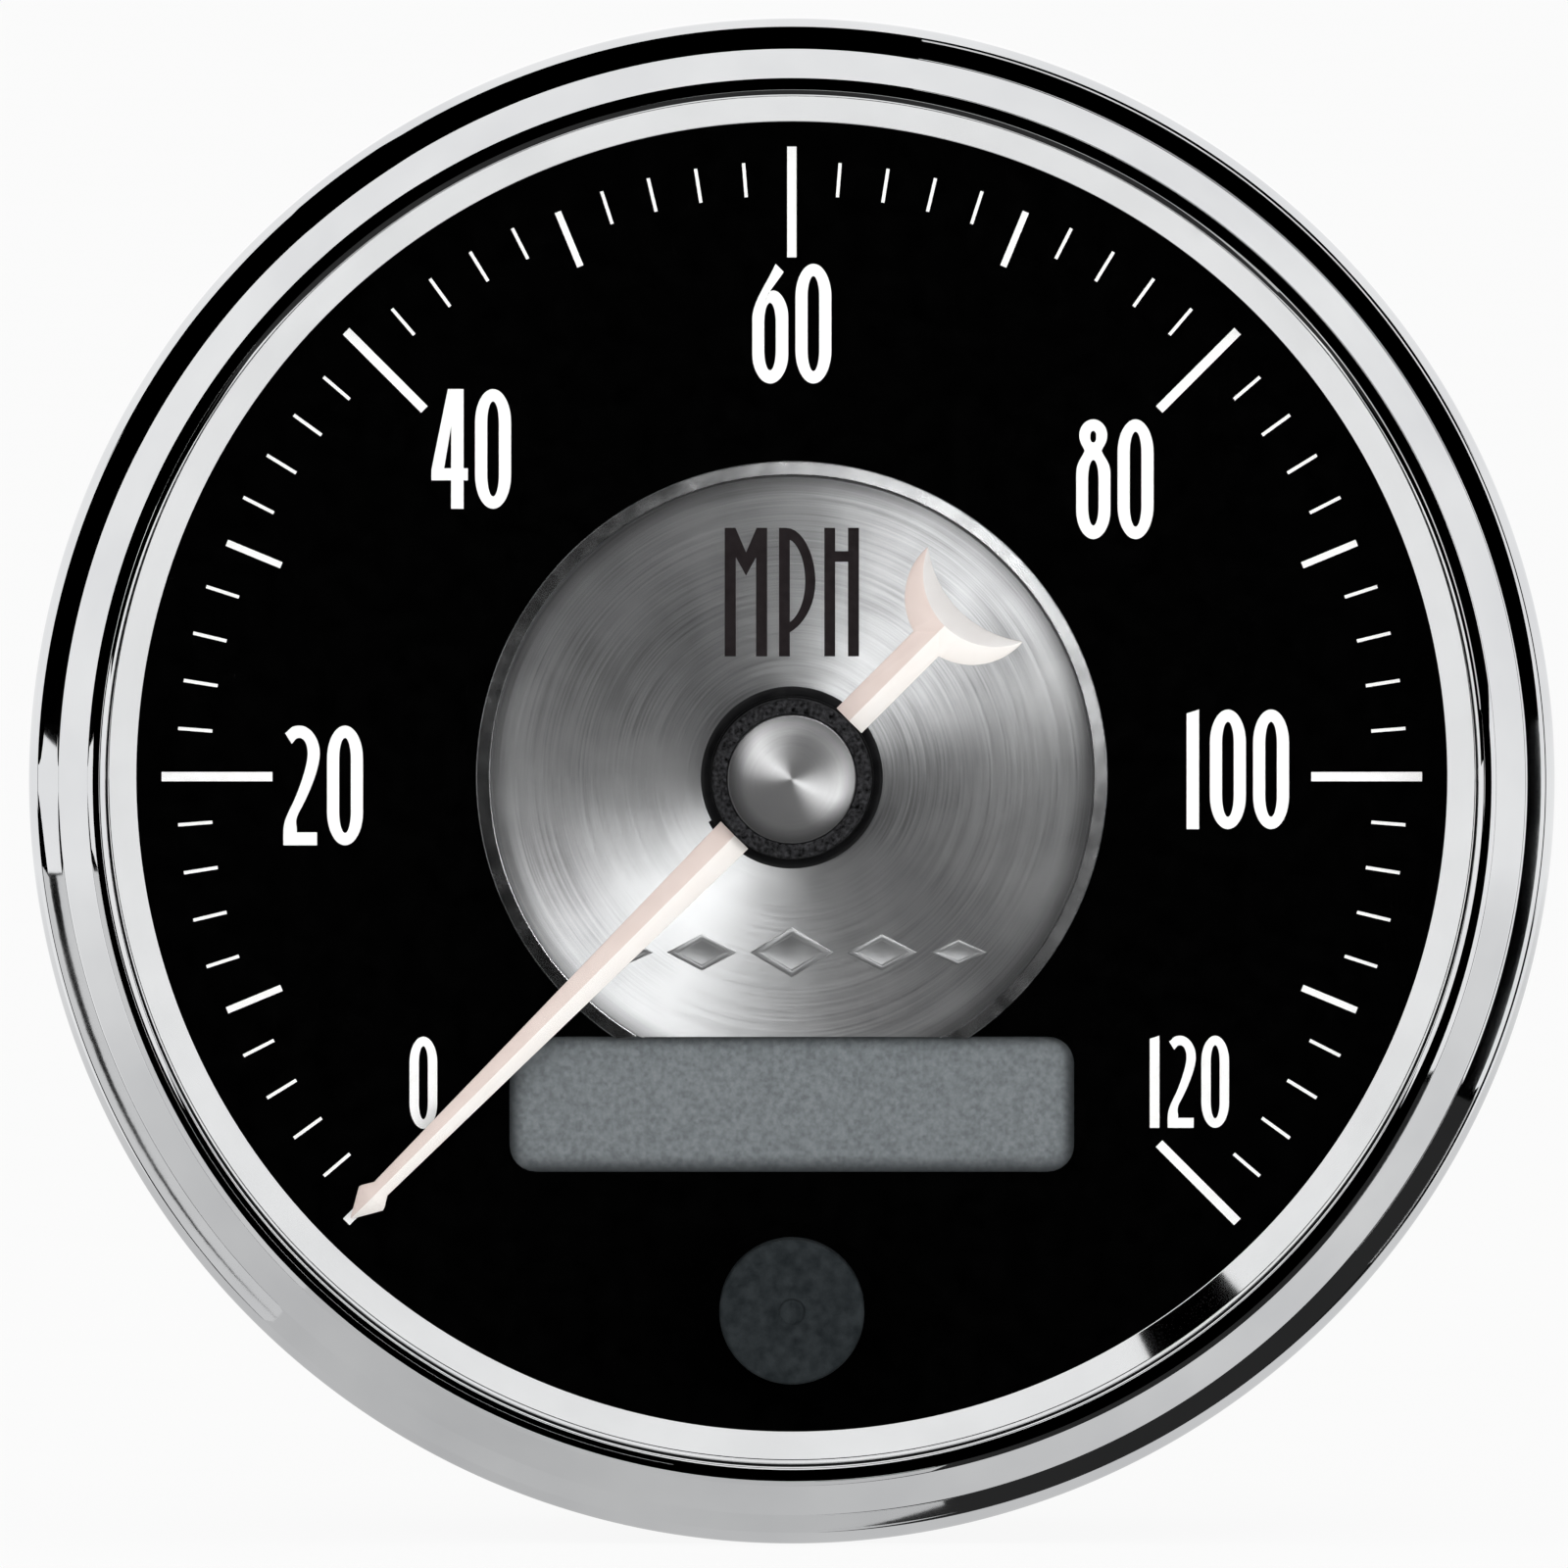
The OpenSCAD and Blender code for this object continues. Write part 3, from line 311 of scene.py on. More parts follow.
# Harness socket and its pins
# An ivory nylon shroud moulded over six gilt blades, soldered to the board and reaching through the back.
# One long side is open in the middle for the key of the plug.
socket_edge = 0.3
socket_plastic = finish("socket_plastic", "CFC9B6", "DAD5C4",
                        patch=4.0, gloss=(0.38, 0.52), grain=0.25, depth=0.006)
socket = eased("connector_socket", "moulded_socket", socket_edge)
put(socket, socket_plastic, "gauge_body", "socket_plastic", "connector_socket")
gilt_metal = finish("gilt_metal", "B98F3E", "D9B45F",
                    patch=1.2, gloss=(0.2, 0.34), grain=0.12, depth=0.002, metal=1.0)
dress(gilt_metal, "connector_pins", "lcd_pins", "motor_pins", "spindle_bushing")

# Circuit board and what is soldered to it
# A round board of woven glass and resin under a green mask, held on the posts of the case by four screws.
# Its chips, crystal, capacitors, lamps and switch stand on either side.
weave_step, weave_share = 0.5, 0.35
wave_rate = 20


def waves(made, step, way, ripple=0.0):
    """Soft stripes across a finish along one axis, with step millimetres for each radian of the wave."""
    place = wire(made, "TexCoord").outputs["Object"]
    bands = wire(made, "TexWave", Vector=place, Scale=1 / (step * mm) / wave_rate, Distortion=ripple,
                 bands_direction=way)
    return bands.outputs[1]


def shift_tone(made, amount, code):
    """Turn a finish towards another colour, as far as the amount says."""
    base = surface_of(made).inputs["Base Color"]
    feed(made, base, tint(made, amount, base.links[0].from_socket, shade(code)))


board_laminate = finish("board_laminate", "0B3A1B", "14552B",
                        patch=5.0, gloss=(0.22, 0.36), grain=0.4, depth=0.003)
yarns = [waves(board_laminate, weave_step, way) for way in ("X", "Z")]
weave = wire(board_laminate, "Math", *yarns, operation="MULTIPLY")
faint_weave = wire(board_laminate, "Math", weave.outputs[0], weave_share, operation="MULTIPLY")
shift_tone(board_laminate, faint_weave.outputs[0], "2C7A44")
dress(board_laminate, "circuit_board")
black_plastic = finish("black_plastic", "141415", "222325",
                       patch=1.5, gloss=(0.5, 0.68), grain=0.15, depth=0.006)
dress(black_plastic, "processor_chip", "driver_chip", "voltage_regulator", "reset_switch_body", "lcd_holder")
drawn_can = finish("drawn_can", "9EA0A2", "C2C4C5",
                   patch=1.8, gloss=(0.2, 0.34), grain=0.2, depth=0.003, metal=1.0)
dress(drawn_can, "timing_crystal")
capacitor_sleeve = finish("capacitor_sleeve", "151B36", "202849",
                          patch=2.0, gloss=(0.24, 0.36), grain=0.3, depth=0.003)
dress(capacitor_sleeve, "filter_capacitors")
diffuser_plastic = finish("diffuser_plastic", "E2E0D6", "F0EEE6",
                          patch=2.5, gloss=(0.3, 0.45), grain=0.3, depth=0.002)
surface_of(diffuser_plastic).inputs["Subsurface Weight"].default_value = 0.3
dress(diffuser_plastic, "dial_leds", "lcd_backlight")
dress(zinc_steel, "board_screws", "rotor_pin", "idler_pin", "spindle")

# Pointer movement
# A two-coil stepper in a white acetal housing on the board: laminated core, wound bobbins, magnet and gears.
# The last wheel carries the pointer's steel spindle out through a bushing in the dial.
turn_step, lamination_step, unevenness = 0.18, 0.35, 0.4
white_plastic = finish("white_plastic", "D3D2CC", "E2E1DB",
                       patch=3.0, gloss=(0.4, 0.55), grain=0.3, depth=0.005)
dress(white_plastic, "motor_base", "motor_cover", "coil_bobbins", "rotor_pinion", "idler_gear", "output_gear",
      "light_tray", "reset_switch_plunger")


def striped(made, step, way, first, second):
    """Colour a finish in stripes, for laminations or turns of wire."""
    tone = tint(made, waves(made, step, way, unevenness), shade(first), shade(second))
    feed(made, surface_of(made).inputs["Base Color"], tone)


iron_core = finish("iron_core", "3C3D3F", "5A5B5D",
                   patch=1.5, gloss=(0.4, 0.6), grain=0.2, depth=0.006, metal=1.0)
striped(iron_core, lamination_step, "Y", "3A3B3D", "66676A")
dress(iron_core, "stator_core", "rotor_magnet")
copper_wire = finish("copper_wire", "8E4B22", "B9683A",
                     patch=1.0, gloss=(0.25, 0.4), grain=0.15, depth=0.006, metal=1.0)
striped(copper_wire, turn_step, "Z", "7A3D1B", "C4733F")
dress(copper_wire, "coil_windings")

# Mileage display
# A blank liquid-crystal glass behind the dial's window, in a holder on the board, with a milky backlight.
# Its polariser has a fine matt grain of blue grey, and its colour is painted darker near the edge of the
# window as painted shade.
window_x, window_y, window_w, window_h = 0.0, -19.6, 33.9, 8.2
dim_w, dim_past, dim_corner = 1.1, 0.3, 1.2
display_glass = finish("display_glass", "666B6E", "7E8386",
                       patch=0.32, gloss=(0.42, 0.55), grain=0.16, depth=0.003, shine=0.2)


def axes(made):
    """A point's place across the dial and up it."""
    parts = wire(made, "SeparateXYZ", wire(made, "TexCoord").outputs["Object"])
    return parts.outputs[0], parts.outputs[2]


# Painted shade: the display's colour darkens within dim_w of the window's edge and a little past it.
margins = []
for axis, middle, width in zip(axes(display_glass), (window_x, window_y), (window_w, window_h)):
    off = wire(display_glass, "Math", axis, middle * mm, operation="SUBTRACT")
    far = wire(display_glass, "Math", off.outputs[0], operation="ABSOLUTE")
    inside = wire(display_glass, "Math", width / 2 * mm, far.outputs[0], operation="SUBTRACT")
    margins.append(inside.outputs[0])
margin = wire(display_glass, "Math", *margins, dim_corner * mm, operation="SMOOTH_MIN")
painted_edge_shade = wire(display_glass, "MapRange", margin.outputs[0], -dim_past * mm, dim_w * mm, 1.0, 0.0,
               interpolation_type="SMOOTHSTEP")
shift_tone(display_glass, painted_edge_shade.outputs[0], "2A2D2F")
dress(display_glass, "lcd_panel")

# Dial, its scale and its numbers
# A flat aluminium plate in black enamel, with the scale and the numbers screen printed on it in white.
# The numbers are tall and narrow, with straight sides and oval ends, and those at the two ends are smaller.
dial_out, print_t = -3.2, 0.04
digit_h, small_numbers = 7.19, 0.77
digit_gap, narrow_gap = 0.43, 0.65
oval_handle, curve_steps = 0.5523, 10
dial_black = finish("dial_black", "010101", "030303",
                    patch=1.6, gloss=(0.5, 0.62), grain=0.25, depth=0.002, shine=0.0)
dress(dial_black, "dial_plate")
dial_print = finish("dial_print", "F7F7F5", "FFFFFF",
                    patch=0.8, gloss=(0.5, 0.65), grain=0.12, depth=0.001, shine=0.1)
dress(dial_print, "dial_marks")


def oval(x0, y0, x1, y1, cap):
    """A tall loop with straight sides and oval ends of the given height, as smooth points with handles."""
    middle, along, across = (x0 + x1) / 2, oval_handle * cap, oval_handle * (x1 - x0) / 2
    return [(x0, y0 + cap, 0, along), (x0, y1 - cap, 0, along), (middle, y1, across, 0),
            (x1, y1 - cap, 0, -along), (x1, y0 + cap, 0, -along), (middle, y0, -across, 0)]


digits = {
    "0": (2.16, [oval(0, 0, 2.16, 7.19, 2.0), oval(0.73, 0.74, 1.43, 6.45, 1.29)]),
    "1": (0.75, [[(0, 0), (0.75, 0), (0.75, 7.19), (0, 6.95)]]),
    "2": (2.19, [[(0.1, 6.74), (0.98, 7.19, 0.62, 0), (2.19, 5.5, 0, -0.95), (1.0, 2.1, -0.42, -0.75),
                  (0.8, 0.78), (2.02, 0.78), (2.02, 0), (0, 0), (0, 0.9, 0.02, 0.5),
                  (0.55, 2.5, 0.36, 0.72), (1.46, 5.45, 0, 0.62), (0.98, 6.45, -0.28, 0.02), (0.5, 6.1)]]),
    "4": (2.19, [[(0.99, 7.19), (1.93, 7.19), (1.93, 2.43), (2.19, 2.43), (2.19, 1.71), (1.93, 1.71),
                  (1.93, 0), (1.18, 0), (1.18, 1.71), (0, 1.71), (0, 2.34)],
                 [(1.19, 4.98), (1.18, 2.43), (0.76, 2.43)]]),
    "6": (2.16, [[(1.4, 7.19), (1.89, 6.7), (0.86, 5.1, -0.16, -0.5), (0.84, 5.1), (1.3, 5.58, 0.42, 0),
                  (2.16, 4.0, 0, -0.8), (2.16, 1.75, 0, -0.95), (1.08, 0, -0.58, 0), (0, 1.8, 0, 1.0),
                  (0, 3.9, 0, 1.0)],
                 oval(0.72, 0.79, 1.41, 4.85, 1.2)]),
    "8": (2.05, [[(1.02, 7.19, 0.46, 0), (1.86, 6.25, 0, -0.5), (1.52, 5.3), (2.05, 3.9, 0, -0.75),
                  (2.05, 1.7, 0, -0.9), (1.02, 0, -0.56, 0), (0, 1.7, 0, 0.9), (0, 3.9, 0, 0.75),
                  (0.5, 5.3), (0.18, 6.25, 0, 0.5)],
                 oval(0.846, 5.8, 1.19, 6.5, 0.25), oval(0.71, 0.81, 1.34, 4.75, 1.15)]),
}
numbers = [("0", -22.12, -18.39), ("20", -28.13, -0.53), ("40", -19.24, 19.68), ("60", 0.0, 27.2),
           ("80", 19.39, 17.86), ("100", 26.77, 0.44), ("120", 23.87, -18.33)]


def printed(name, outlines):
    """Ink with outlines in millimetres, filled as a curve and made a mesh that still lies flat and unscaled.

    A point of an outline is a corner, a smooth point where it also has its handle, or a corner between two
    curves where it has one handle for the curve ahead and one for the curve behind."""
    curve = bpy.data.curves.new(name, "CURVE")
    curve.dimensions = "2D"
    curve.fill_mode = "BOTH"
    curve.resolution_u = curve_steps
    curve.extrude = print_t / 2
    for outline in outlines:
        line = curve.splines.new("BEZIER")
        line.bezier_points.add(len(outline) - 1)
        line.use_cyclic_u = True
        for spot, (x, y, *handle) in zip(line.bezier_points, outline):
            spot.co = (x, y, 0)
            spot.handle_left_type = spot.handle_right_type = "FREE" if handle else "VECTOR"
            if handle:
                ahead = handle[:2]
                behind = handle[2:] or [-h for h in ahead]
                spot.handle_right = (x + ahead[0], y + ahead[1], 0)
                spot.handle_left = (x + behind[0], y + behind[1], 0)
    piece = bpy.data.objects.new(name, curve)
    bpy.context.scene.collection.objects.link(piece)
    pick(piece)
    bpy.ops.object.convert(target="MESH")
    return bpy.context.object


def laid(ink, left, bottom, out, size=1.0):
    """Lay ink on a face that looks out of the dial, by its lower left corner."""
    pick(ink)
    ink.scale = (size * mm, size * mm, mm)
    ink.rotation_euler = (math.pi / 2, 0, 0)
    ink.location = (left * mm, -(out + print_t / 2) * mm, bottom * mm)
    bpy.ops.object.transform_apply(location=True, rotation=True, scale=True)
    return ink


digit_ink = {digit: printed("digit_" + digit, shape[1]) for digit, shape in digits.items()}


def number(text, x, y):
    """One number of the scale, set from copies of its digits about its middle."""
    size = small_numbers if text in ("0", "120") else 1.0
    gaps = [(narrow_gap if digit == "1" else digit_gap) * size for digit in text[:-1]] + [0]
    width = sum(digits[digit][0] * size for digit in text) + sum(gaps)
    left, bottom = x - width / 2, y - digit_h * size / 2
    made = []
    for digit, gap in zip(text, gaps):
        made.append(laid(copied(digit_ink[digit]), left, bottom, dial_out, size))
        left += digits[digit][0] * size + gap
    return made


scale_numbers = join("scale_numbers", [piece for row in numbers for piece in number(*row)])
put(scale_numbers, dial_print, "gauge_body", "dial_print")
for ink in digit_ink.values():
    bpy.data.objects.remove(ink)

# Centre medallion with its lettering and ornament
# A disc of spun aluminium with a bevelled rim, fixed to the dial and cut straight above the display.
# The unit is printed on it in black, and five raised lozenges with sunk middles are pressed below the hub.
medallion_r, rim_w, hole_r = 18.95, 0.85, 2.0
face_out, rim_out, rim_fall = -2.95, -2.6, 0.2
rim_in = medallion_r - rim_w
foot_edge, soft = 0.05, 0.02
cut_y = -15.62
dark_from, dark_to, dark_share = 16.9, 18.1, 0.75
streak_share = 0.55
unit_bottom = 7.23
letters = [
    (-4.03, [[(0, 0), (0.67, 0), (0.67, 5.95), (1.28, 4.85), (1.88, 5.95), (1.88, 0), (2.55, 0), (2.55, 7.72),
              (1.92, 7.72), (1.28, 6.25), (0.65, 7.72), (0, 7.72)]]),
    (-0.77, [[(0, 0), (0.65, 0), (0.65, 1.44, 0.7, 0.4, 0, -0.4), (2.19, 4.5, 0, 1.6),
              (0.42, 7.72, -0.14, 0, 1.0, 0), (0, 7.72)],
             [(0.65, 2.06, 0.45, 0.3, 0, 1.0), (1.57, 4.5, 0, 1.25), (0.65, 7.0, 0, -1.0, 0.5, -0.25)]]),
    (1.95, [[(0, 0), (0.65, 0), (0.65, 5.68), (1.42, 5.68), (1.42, 0), (2.08, 0), (2.08, 7.72), (1.42, 7.72),
             (1.42, 6.32), (0.65, 6.32), (0.65, 7.72), (0, 7.72)]]),
]
lozenge_y, lozenge_h, lozenge_w = -10.545, 0.2, 3.0
lozenge_frame, frame_slope, lozenge_sunk, lozenge_edge = 0.32, 0.08, 0.12, 0.04
lozenges = [(0.0, 5.0, lozenge_w), (5.4, 4.2, 2.19), (10.0, 3.4, 1.5)]


def radius(made):
    """How far a point is from the dial's axis."""
    across, up = axes(made)
    flat = wire(made, "CombineXYZ", across, up, 0.0)
    return wire(made, "VectorMath", flat.outputs[0], operation="LENGTH").outputs["Value"]


def round_lines(made, pitch, stretch):
    """Turned lines about the dial's axis: noise that changes quickly outwards and slowly along the turn."""
    across, up = axes(made)
    turn = wire(made, "Math", up, across, operation="ARCTAN2")
    rows = wire(made, "Math", radius(made), 1 / (pitch * mm), operation="MULTIPLY")
    along = wire(made, "Math", turn.outputs[0], stretch, operation="MULTIPLY")
    place = wire(made, "CombineXYZ", rows.outputs[0], along.outputs[0], 0.0)
    noise = wire(made, "TexNoise", Vector=place.outputs[0], Scale=1.0, Detail=2.0)
    return wire(made, "MapRange", noise.outputs[0], *noise_span, 0.0, 1.0).outputs[0]


def brushed(name, dark, light, *, gloss, pitch, stretch, depth, spread, rays):
    """Metal brushed in rings, or in rays, with highlights spread at right angles to the lines."""
    made = finish(name, dark, light, patch=9.0, gloss=gloss, grain=0.4, depth=0.0005, metal=1.0)
    surface = surface_of(made)
    lines = round_lines(made, pitch, stretch)
    streak = wire(made, "Math", lines, streak_share, operation="MULTIPLY")
    shift_tone(made, streak.outputs[0], light)
    feed(made, surface.inputs["Roughness"], wire(made, "MapRange", lines, 0.0, 1.0, *gloss).outputs[0])
    relief(made, depth, lines)
    across, up = axes(made)
    if rays:
        down = wire(made, "Math", up, -1.0, operation="MULTIPLY")
        way = wire(made, "CombineXYZ", down.outputs[0], 0.0, across)
    else:
        way = wire(made, "CombineXYZ", across, 0.0, up)
    turned = wire(made, "VectorTransform", way.outputs[0], vector_type="VECTOR", convert_from="OBJECT",
                  convert_to="WORLD")
    surface.inputs["Anisotropic"].default_value = spread
    feed(made, surface.inputs["Tangent"], turned.outputs[0])
    return made


spun_aluminium = brushed("spun_aluminium", "848586", "CACBCC",
                         gloss=(0.3, 0.4), pitch=0.13, stretch=1.3, depth=0.0003, spread=0.9, rays=False)
surface_of(spun_aluminium).inputs["Metallic"].default_value = 0.85
# Painted shade: the face's colour darkens towards its rim, between dark_from and dark_to.
face_shadow = wire(spun_aluminium, "MapRange", radius(spun_aluminium), dark_from * mm, dark_to * mm,
                   0.0, dark_share)
shift_tone(spun_aluminium, face_shadow.outputs[0], "4A4A4B")
turned_rim = finish("turned_rim", "A8A9AA", "C2C3C4",
                    patch=2.0, gloss=(0.2, 0.28), grain=0.3, depth=0.0002, metal=1.0)
medallion = spun("spun_medallion", [
    (hole_r, dial_out), (medallion_r - foot_edge, dial_out), (medallion_r, dial_out + foot_edge),
    (medallion_r, rim_out - rim_fall - 3 * soft), (medallion_r - 3 * soft, rim_out - rim_fall),
    (rim_in + 4 * soft, rim_out), (rim_in + soft, rim_out - soft), (rim_in - soft, rim_out - 4 * soft),
    (rim_in - 3 * soft, face_out + foot_edge), (rim_in - 6 * soft, face_out),
    (hole_r, face_out), (hole_r, dial_out)], steps=256)
bpy.ops.object.mode_set(mode="EDIT")
bpy.ops.mesh.select_all(action="SELECT")
bpy.ops.mesh.bisect(plane_co=(0, 0, cut_y * mm), plane_no=(0, 0, -1), use_fill=True, clear_outer=True)
bpy.ops.object.mode_set(mode="OBJECT")
soften(medallion, angle=18)
put(medallion, spun_aluminium, "gauge_body", "spun_aluminium", "center_medallion")
medallion.data.materials.append(turned_rim)
for face in medallion.data.polygons:
    if math.hypot(face.center.x, face.center.z) > rim_in * mm:
        face.material_index = 1

letter_ink = finish("letter_ink", "1F1B1C", "272324",
                    patch=0.6, gloss=(0.5, 0.65), grain=0.1, depth=0.003, shine=0.0)
unit = join("unit_lettering", [laid(printed("letter", outlines), left, unit_bottom, face_out)
                               for left, outlines in letters])
put(unit, letter_ink, "gauge_body", "dial_print")


def lozenge(x, length, width):
    """A pressed lozenge: four sides drawn up from the face, with a narrow frame round a sunk middle."""
    piece = begun(bpy.ops.mesh.primitive_circle_add, vertices=4, radius=mm, fill_type="NGON")
    piece.rotation_euler = (math.pi / 2, 0, 0)
    piece.scale = (length / 2, width / 2, 1)
    piece.location = (x * mm, -face_out * mm, lozenge_y * mm)
    bpy.ops.object.transform_apply(location=True, rotation=True, scale=True)
    open_mesh("FACE")
    bpy.ops.mesh.extrude_region_move(TRANSFORM_OT_translate={"value": (0, -lozenge_h * mm, 0)})
    bpy.ops.mesh.inset(thickness=lozenge_frame * mm * width / lozenge_w)
    bpy.ops.mesh.inset(thickness=frame_slope * mm)
    bpy.ops.transform.translate(value=(0, lozenge_sunk * mm, 0))
    close_mesh()
    round_edges(piece, lozenge_edge, angle=20)
    smooth(angle=30)
    return piece


ornament_metal = finish("ornament_metal", "A4A5A6", "BDBEBF",
                        patch=3.0, gloss=(0.3, 0.38), grain=0.4, depth=0.0003, metal=0.8)
pressed = []
for x, length, width in lozenges:
    pressed.append(lozenge(x, length, width))
    if x > 0:
        pressed.append(copied(pressed[-1], -2 * x))
ornament = join("lozenge_ornament", pressed)
put(ornament, ornament_metal, "gauge_body", "ornament_metal", "medallion_ornament")

# Pointer
# A thin pressed needle with a folded ridge, a spade tip, a crescent tail and a round plate under the hub.
# The enamel comes in lit and shaded copies: one side of the ridge is beige as painted shade, the other cream
# as painted light, and the tail's hollow is greyer as painted shade.
pointer_edge, plate_r = 0.03, 5.05
tail_x, tail_lean, face_lean, fold_lean = 6.0, 0.25, 0.3, 0.05
enamel_grain = {"patch": 1.4, "gloss": (0.45, 0.6), "grain": 0.2, "depth": 0.002, "shine": 0.3}
pointer_shaded_side = finish("pointer_shaded_side", "E2D1CA", "E8D8D1", **enamel_grain)
pointer_lit_side = finish("pointer_lit_side", "FEF8F3", "FFFBF7", **enamel_grain)
pointer_hollow_shade = finish("pointer_hollow_shade", "DFDBD9", "E6E3E1", **enamel_grain)
hub_smooth = finish("hub_smooth", "0B0B0C", "1A1A1B",
                    patch=1.2, gloss=(0.34, 0.46), grain=0.3, depth=0.003, shine=0.15)
needle = eased("pointer", "faceted_pointer", pointer_edge)
put(needle, pointer_shaded_side, "pointer_assembly", "pointer_enamel", "pointer")
needle.visible_glossy = False
for made in (pointer_lit_side, pointer_hollow_shade, hub_smooth):
    needle.data.materials.append(made)
# Faces take their tone by the way they face: painted shade on the upper left side of the fold and in the
# tail's hollow, painted light on the lower right side, and hub black on the plate.
for face in needle.data.polygons:
    along = (face.normal.x + face.normal.z) / math.sqrt(2)
    side = (face.normal.z - face.normal.x) / math.sqrt(2)
    upper = face.center.z > face.center.x
    if math.hypot(face.center.x, face.center.z) < plate_r * mm:
        face.material_index = 3
    elif along > tail_lean and face.center.x > tail_x * mm and face.normal.y < -face_lean:
        face.material_index = 2
    elif side < -fold_lean or (abs(side) <= fold_lean and not upper):
        face.material_index = 1

# Hub of the pointer
# A smooth black plastic base under the needle, a grained black cover over it, and a brushed metal cap.
# The cap is a thin disc of aluminium finished in rays and glued into the cover.
base_r, cover_r, cap_r, bore_r = 5.47, 4.8, 3.87, 0.52
base_out, needle_out, cover_out, hub_out = -2.1, -1.3, -0.95, 1.1
foot_round, base_round, seat_drop, seat_over, seat_under = 0.15, 0.3, 0.08, 0.05, 0.1
tab_depth, tab_reach, tab_drop, tab_edge = 0.5, 0.2, 0.12, 0.06
cover_foot, cover_round, lip_gap, lip_round = 0.08, 0.25, 0.12, 0.1
well_gap, well_depth = 0.02, 0.45
cap_sunk, cap_edge, cap_edge_out = 0.44, 0.12, 0.03
cap_crown = [(0.66, 0.22), (0.33, 0.27), (0, 0.29)]
cap_dark_from, cap_dark_to, cap_dark_share = 2.9, 3.95, 0.8


def arc(r, out, bend, start, end, count=6):
    """Points along an arc of radius bend in an outline, by angles in degrees from straight outwards."""
    turns = [math.radians(start + (end - start) * i / count) for i in range(count + 1)]
    return [(r + bend * math.cos(t), out + bend * math.sin(t)) for t in turns]


def tab(start, end):
    """A small ear of the base beside the needle: a rectangle spun between two angles."""
    inner, outer = base_r - tab_depth, base_r + tab_reach
    low, high = base_out + foot_round, needle_out - tab_drop
    piece = begun(bpy.ops.mesh.primitive_plane_add, size=mm)
    turn = math.radians(start)
    corners = [(inner, low), (outer, low), (inner, high), (outer, high)]
    for corner, (r, out) in zip(piece.data.vertices, corners):
        corner.co = (r * math.cos(turn) * mm, -out * mm, r * math.sin(turn) * mm)
    open_mesh("FACE")
    bpy.ops.mesh.spin(steps=10, angle=-math.radians(end - start), center=(0, 0, 0), axis=(0, 1, 0))
    close_mesh()
    round_edges(piece, tab_edge, angle=30)
    smooth(angle=35)
    return piece


hub_base = spun("hub_ring", [
    (bore_r, base_out), *arc(base_r - foot_round, base_out + foot_round, foot_round, -90, 0),
    *arc(base_r - base_round, needle_out - base_round, base_round, 0, 90), (cover_r + seat_over, needle_out),
    (cover_r - seat_under, needle_out - seat_drop), (bore_r, needle_out - seat_drop),
    (bore_r, base_out)], steps=128)
hub_base = join("hub_ring", [hub_base, tab(start=54, end=69), tab(start=213.5, end=219)])
put(hub_base, hub_smooth, "pointer_assembly", "hub_black", "hub_base")

hub_grain = finish("hub_grain", "000000", "3A3A3C",
                   patch=0.26, gloss=(0.6, 0.85), grain=0.24, depth=0.1, shine=0.1)
hub_cover = spun("hub_cover_ring", [
    (0, cover_out), *arc(cover_r - cover_foot, cover_out + cover_foot, cover_foot, -90, 0),
    *arc(cover_r - cover_round, hub_out - cover_round, cover_round, 0, 90),
    *arc(cap_r + lip_gap, hub_out - lip_round, lip_round, 90, 180),
    (cap_r + well_gap, hub_out - well_depth), (0, hub_out - well_depth)], steps=128)
put(hub_cover, hub_grain, "pointer_assembly", "hub_black", "hub_cover")

ray_metal = brushed("ray_metal", "A2A2A3", "BEBEBF",
                    gloss=(0.28, 0.3), pitch=0.14, stretch=1.2, depth=0.0, spread=0.92, rays=True)
surface_of(ray_metal).inputs["Metallic"].default_value = 0.85
# Painted shade: the cap's colour darkens towards its edge, between cap_dark_from and cap_dark_to.
cap_shadow = wire(ray_metal, "MapRange", radius(ray_metal), cap_dark_from * mm, cap_dark_to * mm,
                  0.0, cap_dark_share)
shift_tone(ray_metal, cap_shadow.outputs[0], "3C3C3D")
hub_cap = spun("hub_cap_disc", [
    (0, hub_out - cap_sunk), (cap_r, hub_out - cap_sunk),
    *arc(cap_r - cap_edge, hub_out + cap_edge_out, cap_edge, 0, 84),
    *[(cap_r * share, hub_out + rise) for share, rise in cap_crown]], steps=128)
put(hub_cap, ray_metal, "pointer_assembly", "spun_aluminium", "hub_cap")

# Reset button
# A dark grey plastic plunger that comes through a hole in the glass, with a moulded ring mark in its dish.
# A black flange behind the glass keeps it in, and pressing it works the switch on the board.
button_y, button_r, button_out, button_edge = -31.75, 4.35, 6.6, 0.3
button_stem_r = 2.2
flange_r, flange_back, flange_front, black_from_r = 5.15, 2.1, 2.9, 4.4
dish_rim, dish_r, dish_drop = 0.6, 2.2, 0.2
mark_r, mark_round, mark_drop = 0.86, 0.1, 0.26
gate_r, gate_drop = 0.7, 0.34
button_back = -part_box("reset_button")[1].y / mm
button_plastic = finish("button_plastic", "171B1D", "262A2C",
                        patch=0.7, gloss=(0.5, 0.66), grain=0.14, depth=0.01, shine=0.08)
button = spun("moulded_button", [
    (0, button_back), (button_stem_r, button_back), (button_stem_r, flange_back), (flange_r, flange_back),
    (flange_r, flange_front), (button_r, flange_front),
    *arc(button_r - button_edge, button_out - button_edge, button_edge, 0, 90),
    (button_r - dish_rim, button_out), (dish_r, button_out - dish_drop),
    *arc(mark_r, button_out - mark_drop, mark_round, 60, 120, 4),
    (gate_r, button_out - gate_drop), (0, button_out - gate_drop)], (0, button_y), steps=128)
put(button, button_plastic, "button", "button_plastic", "reset_button")
button.data.materials.append(dial_black)
for face in button.data.polygons:
    if math.hypot(face.center.x, face.center.z - button_y * mm) > black_from_r * mm:
        face.material_index = 1
button.visible_glossy = False

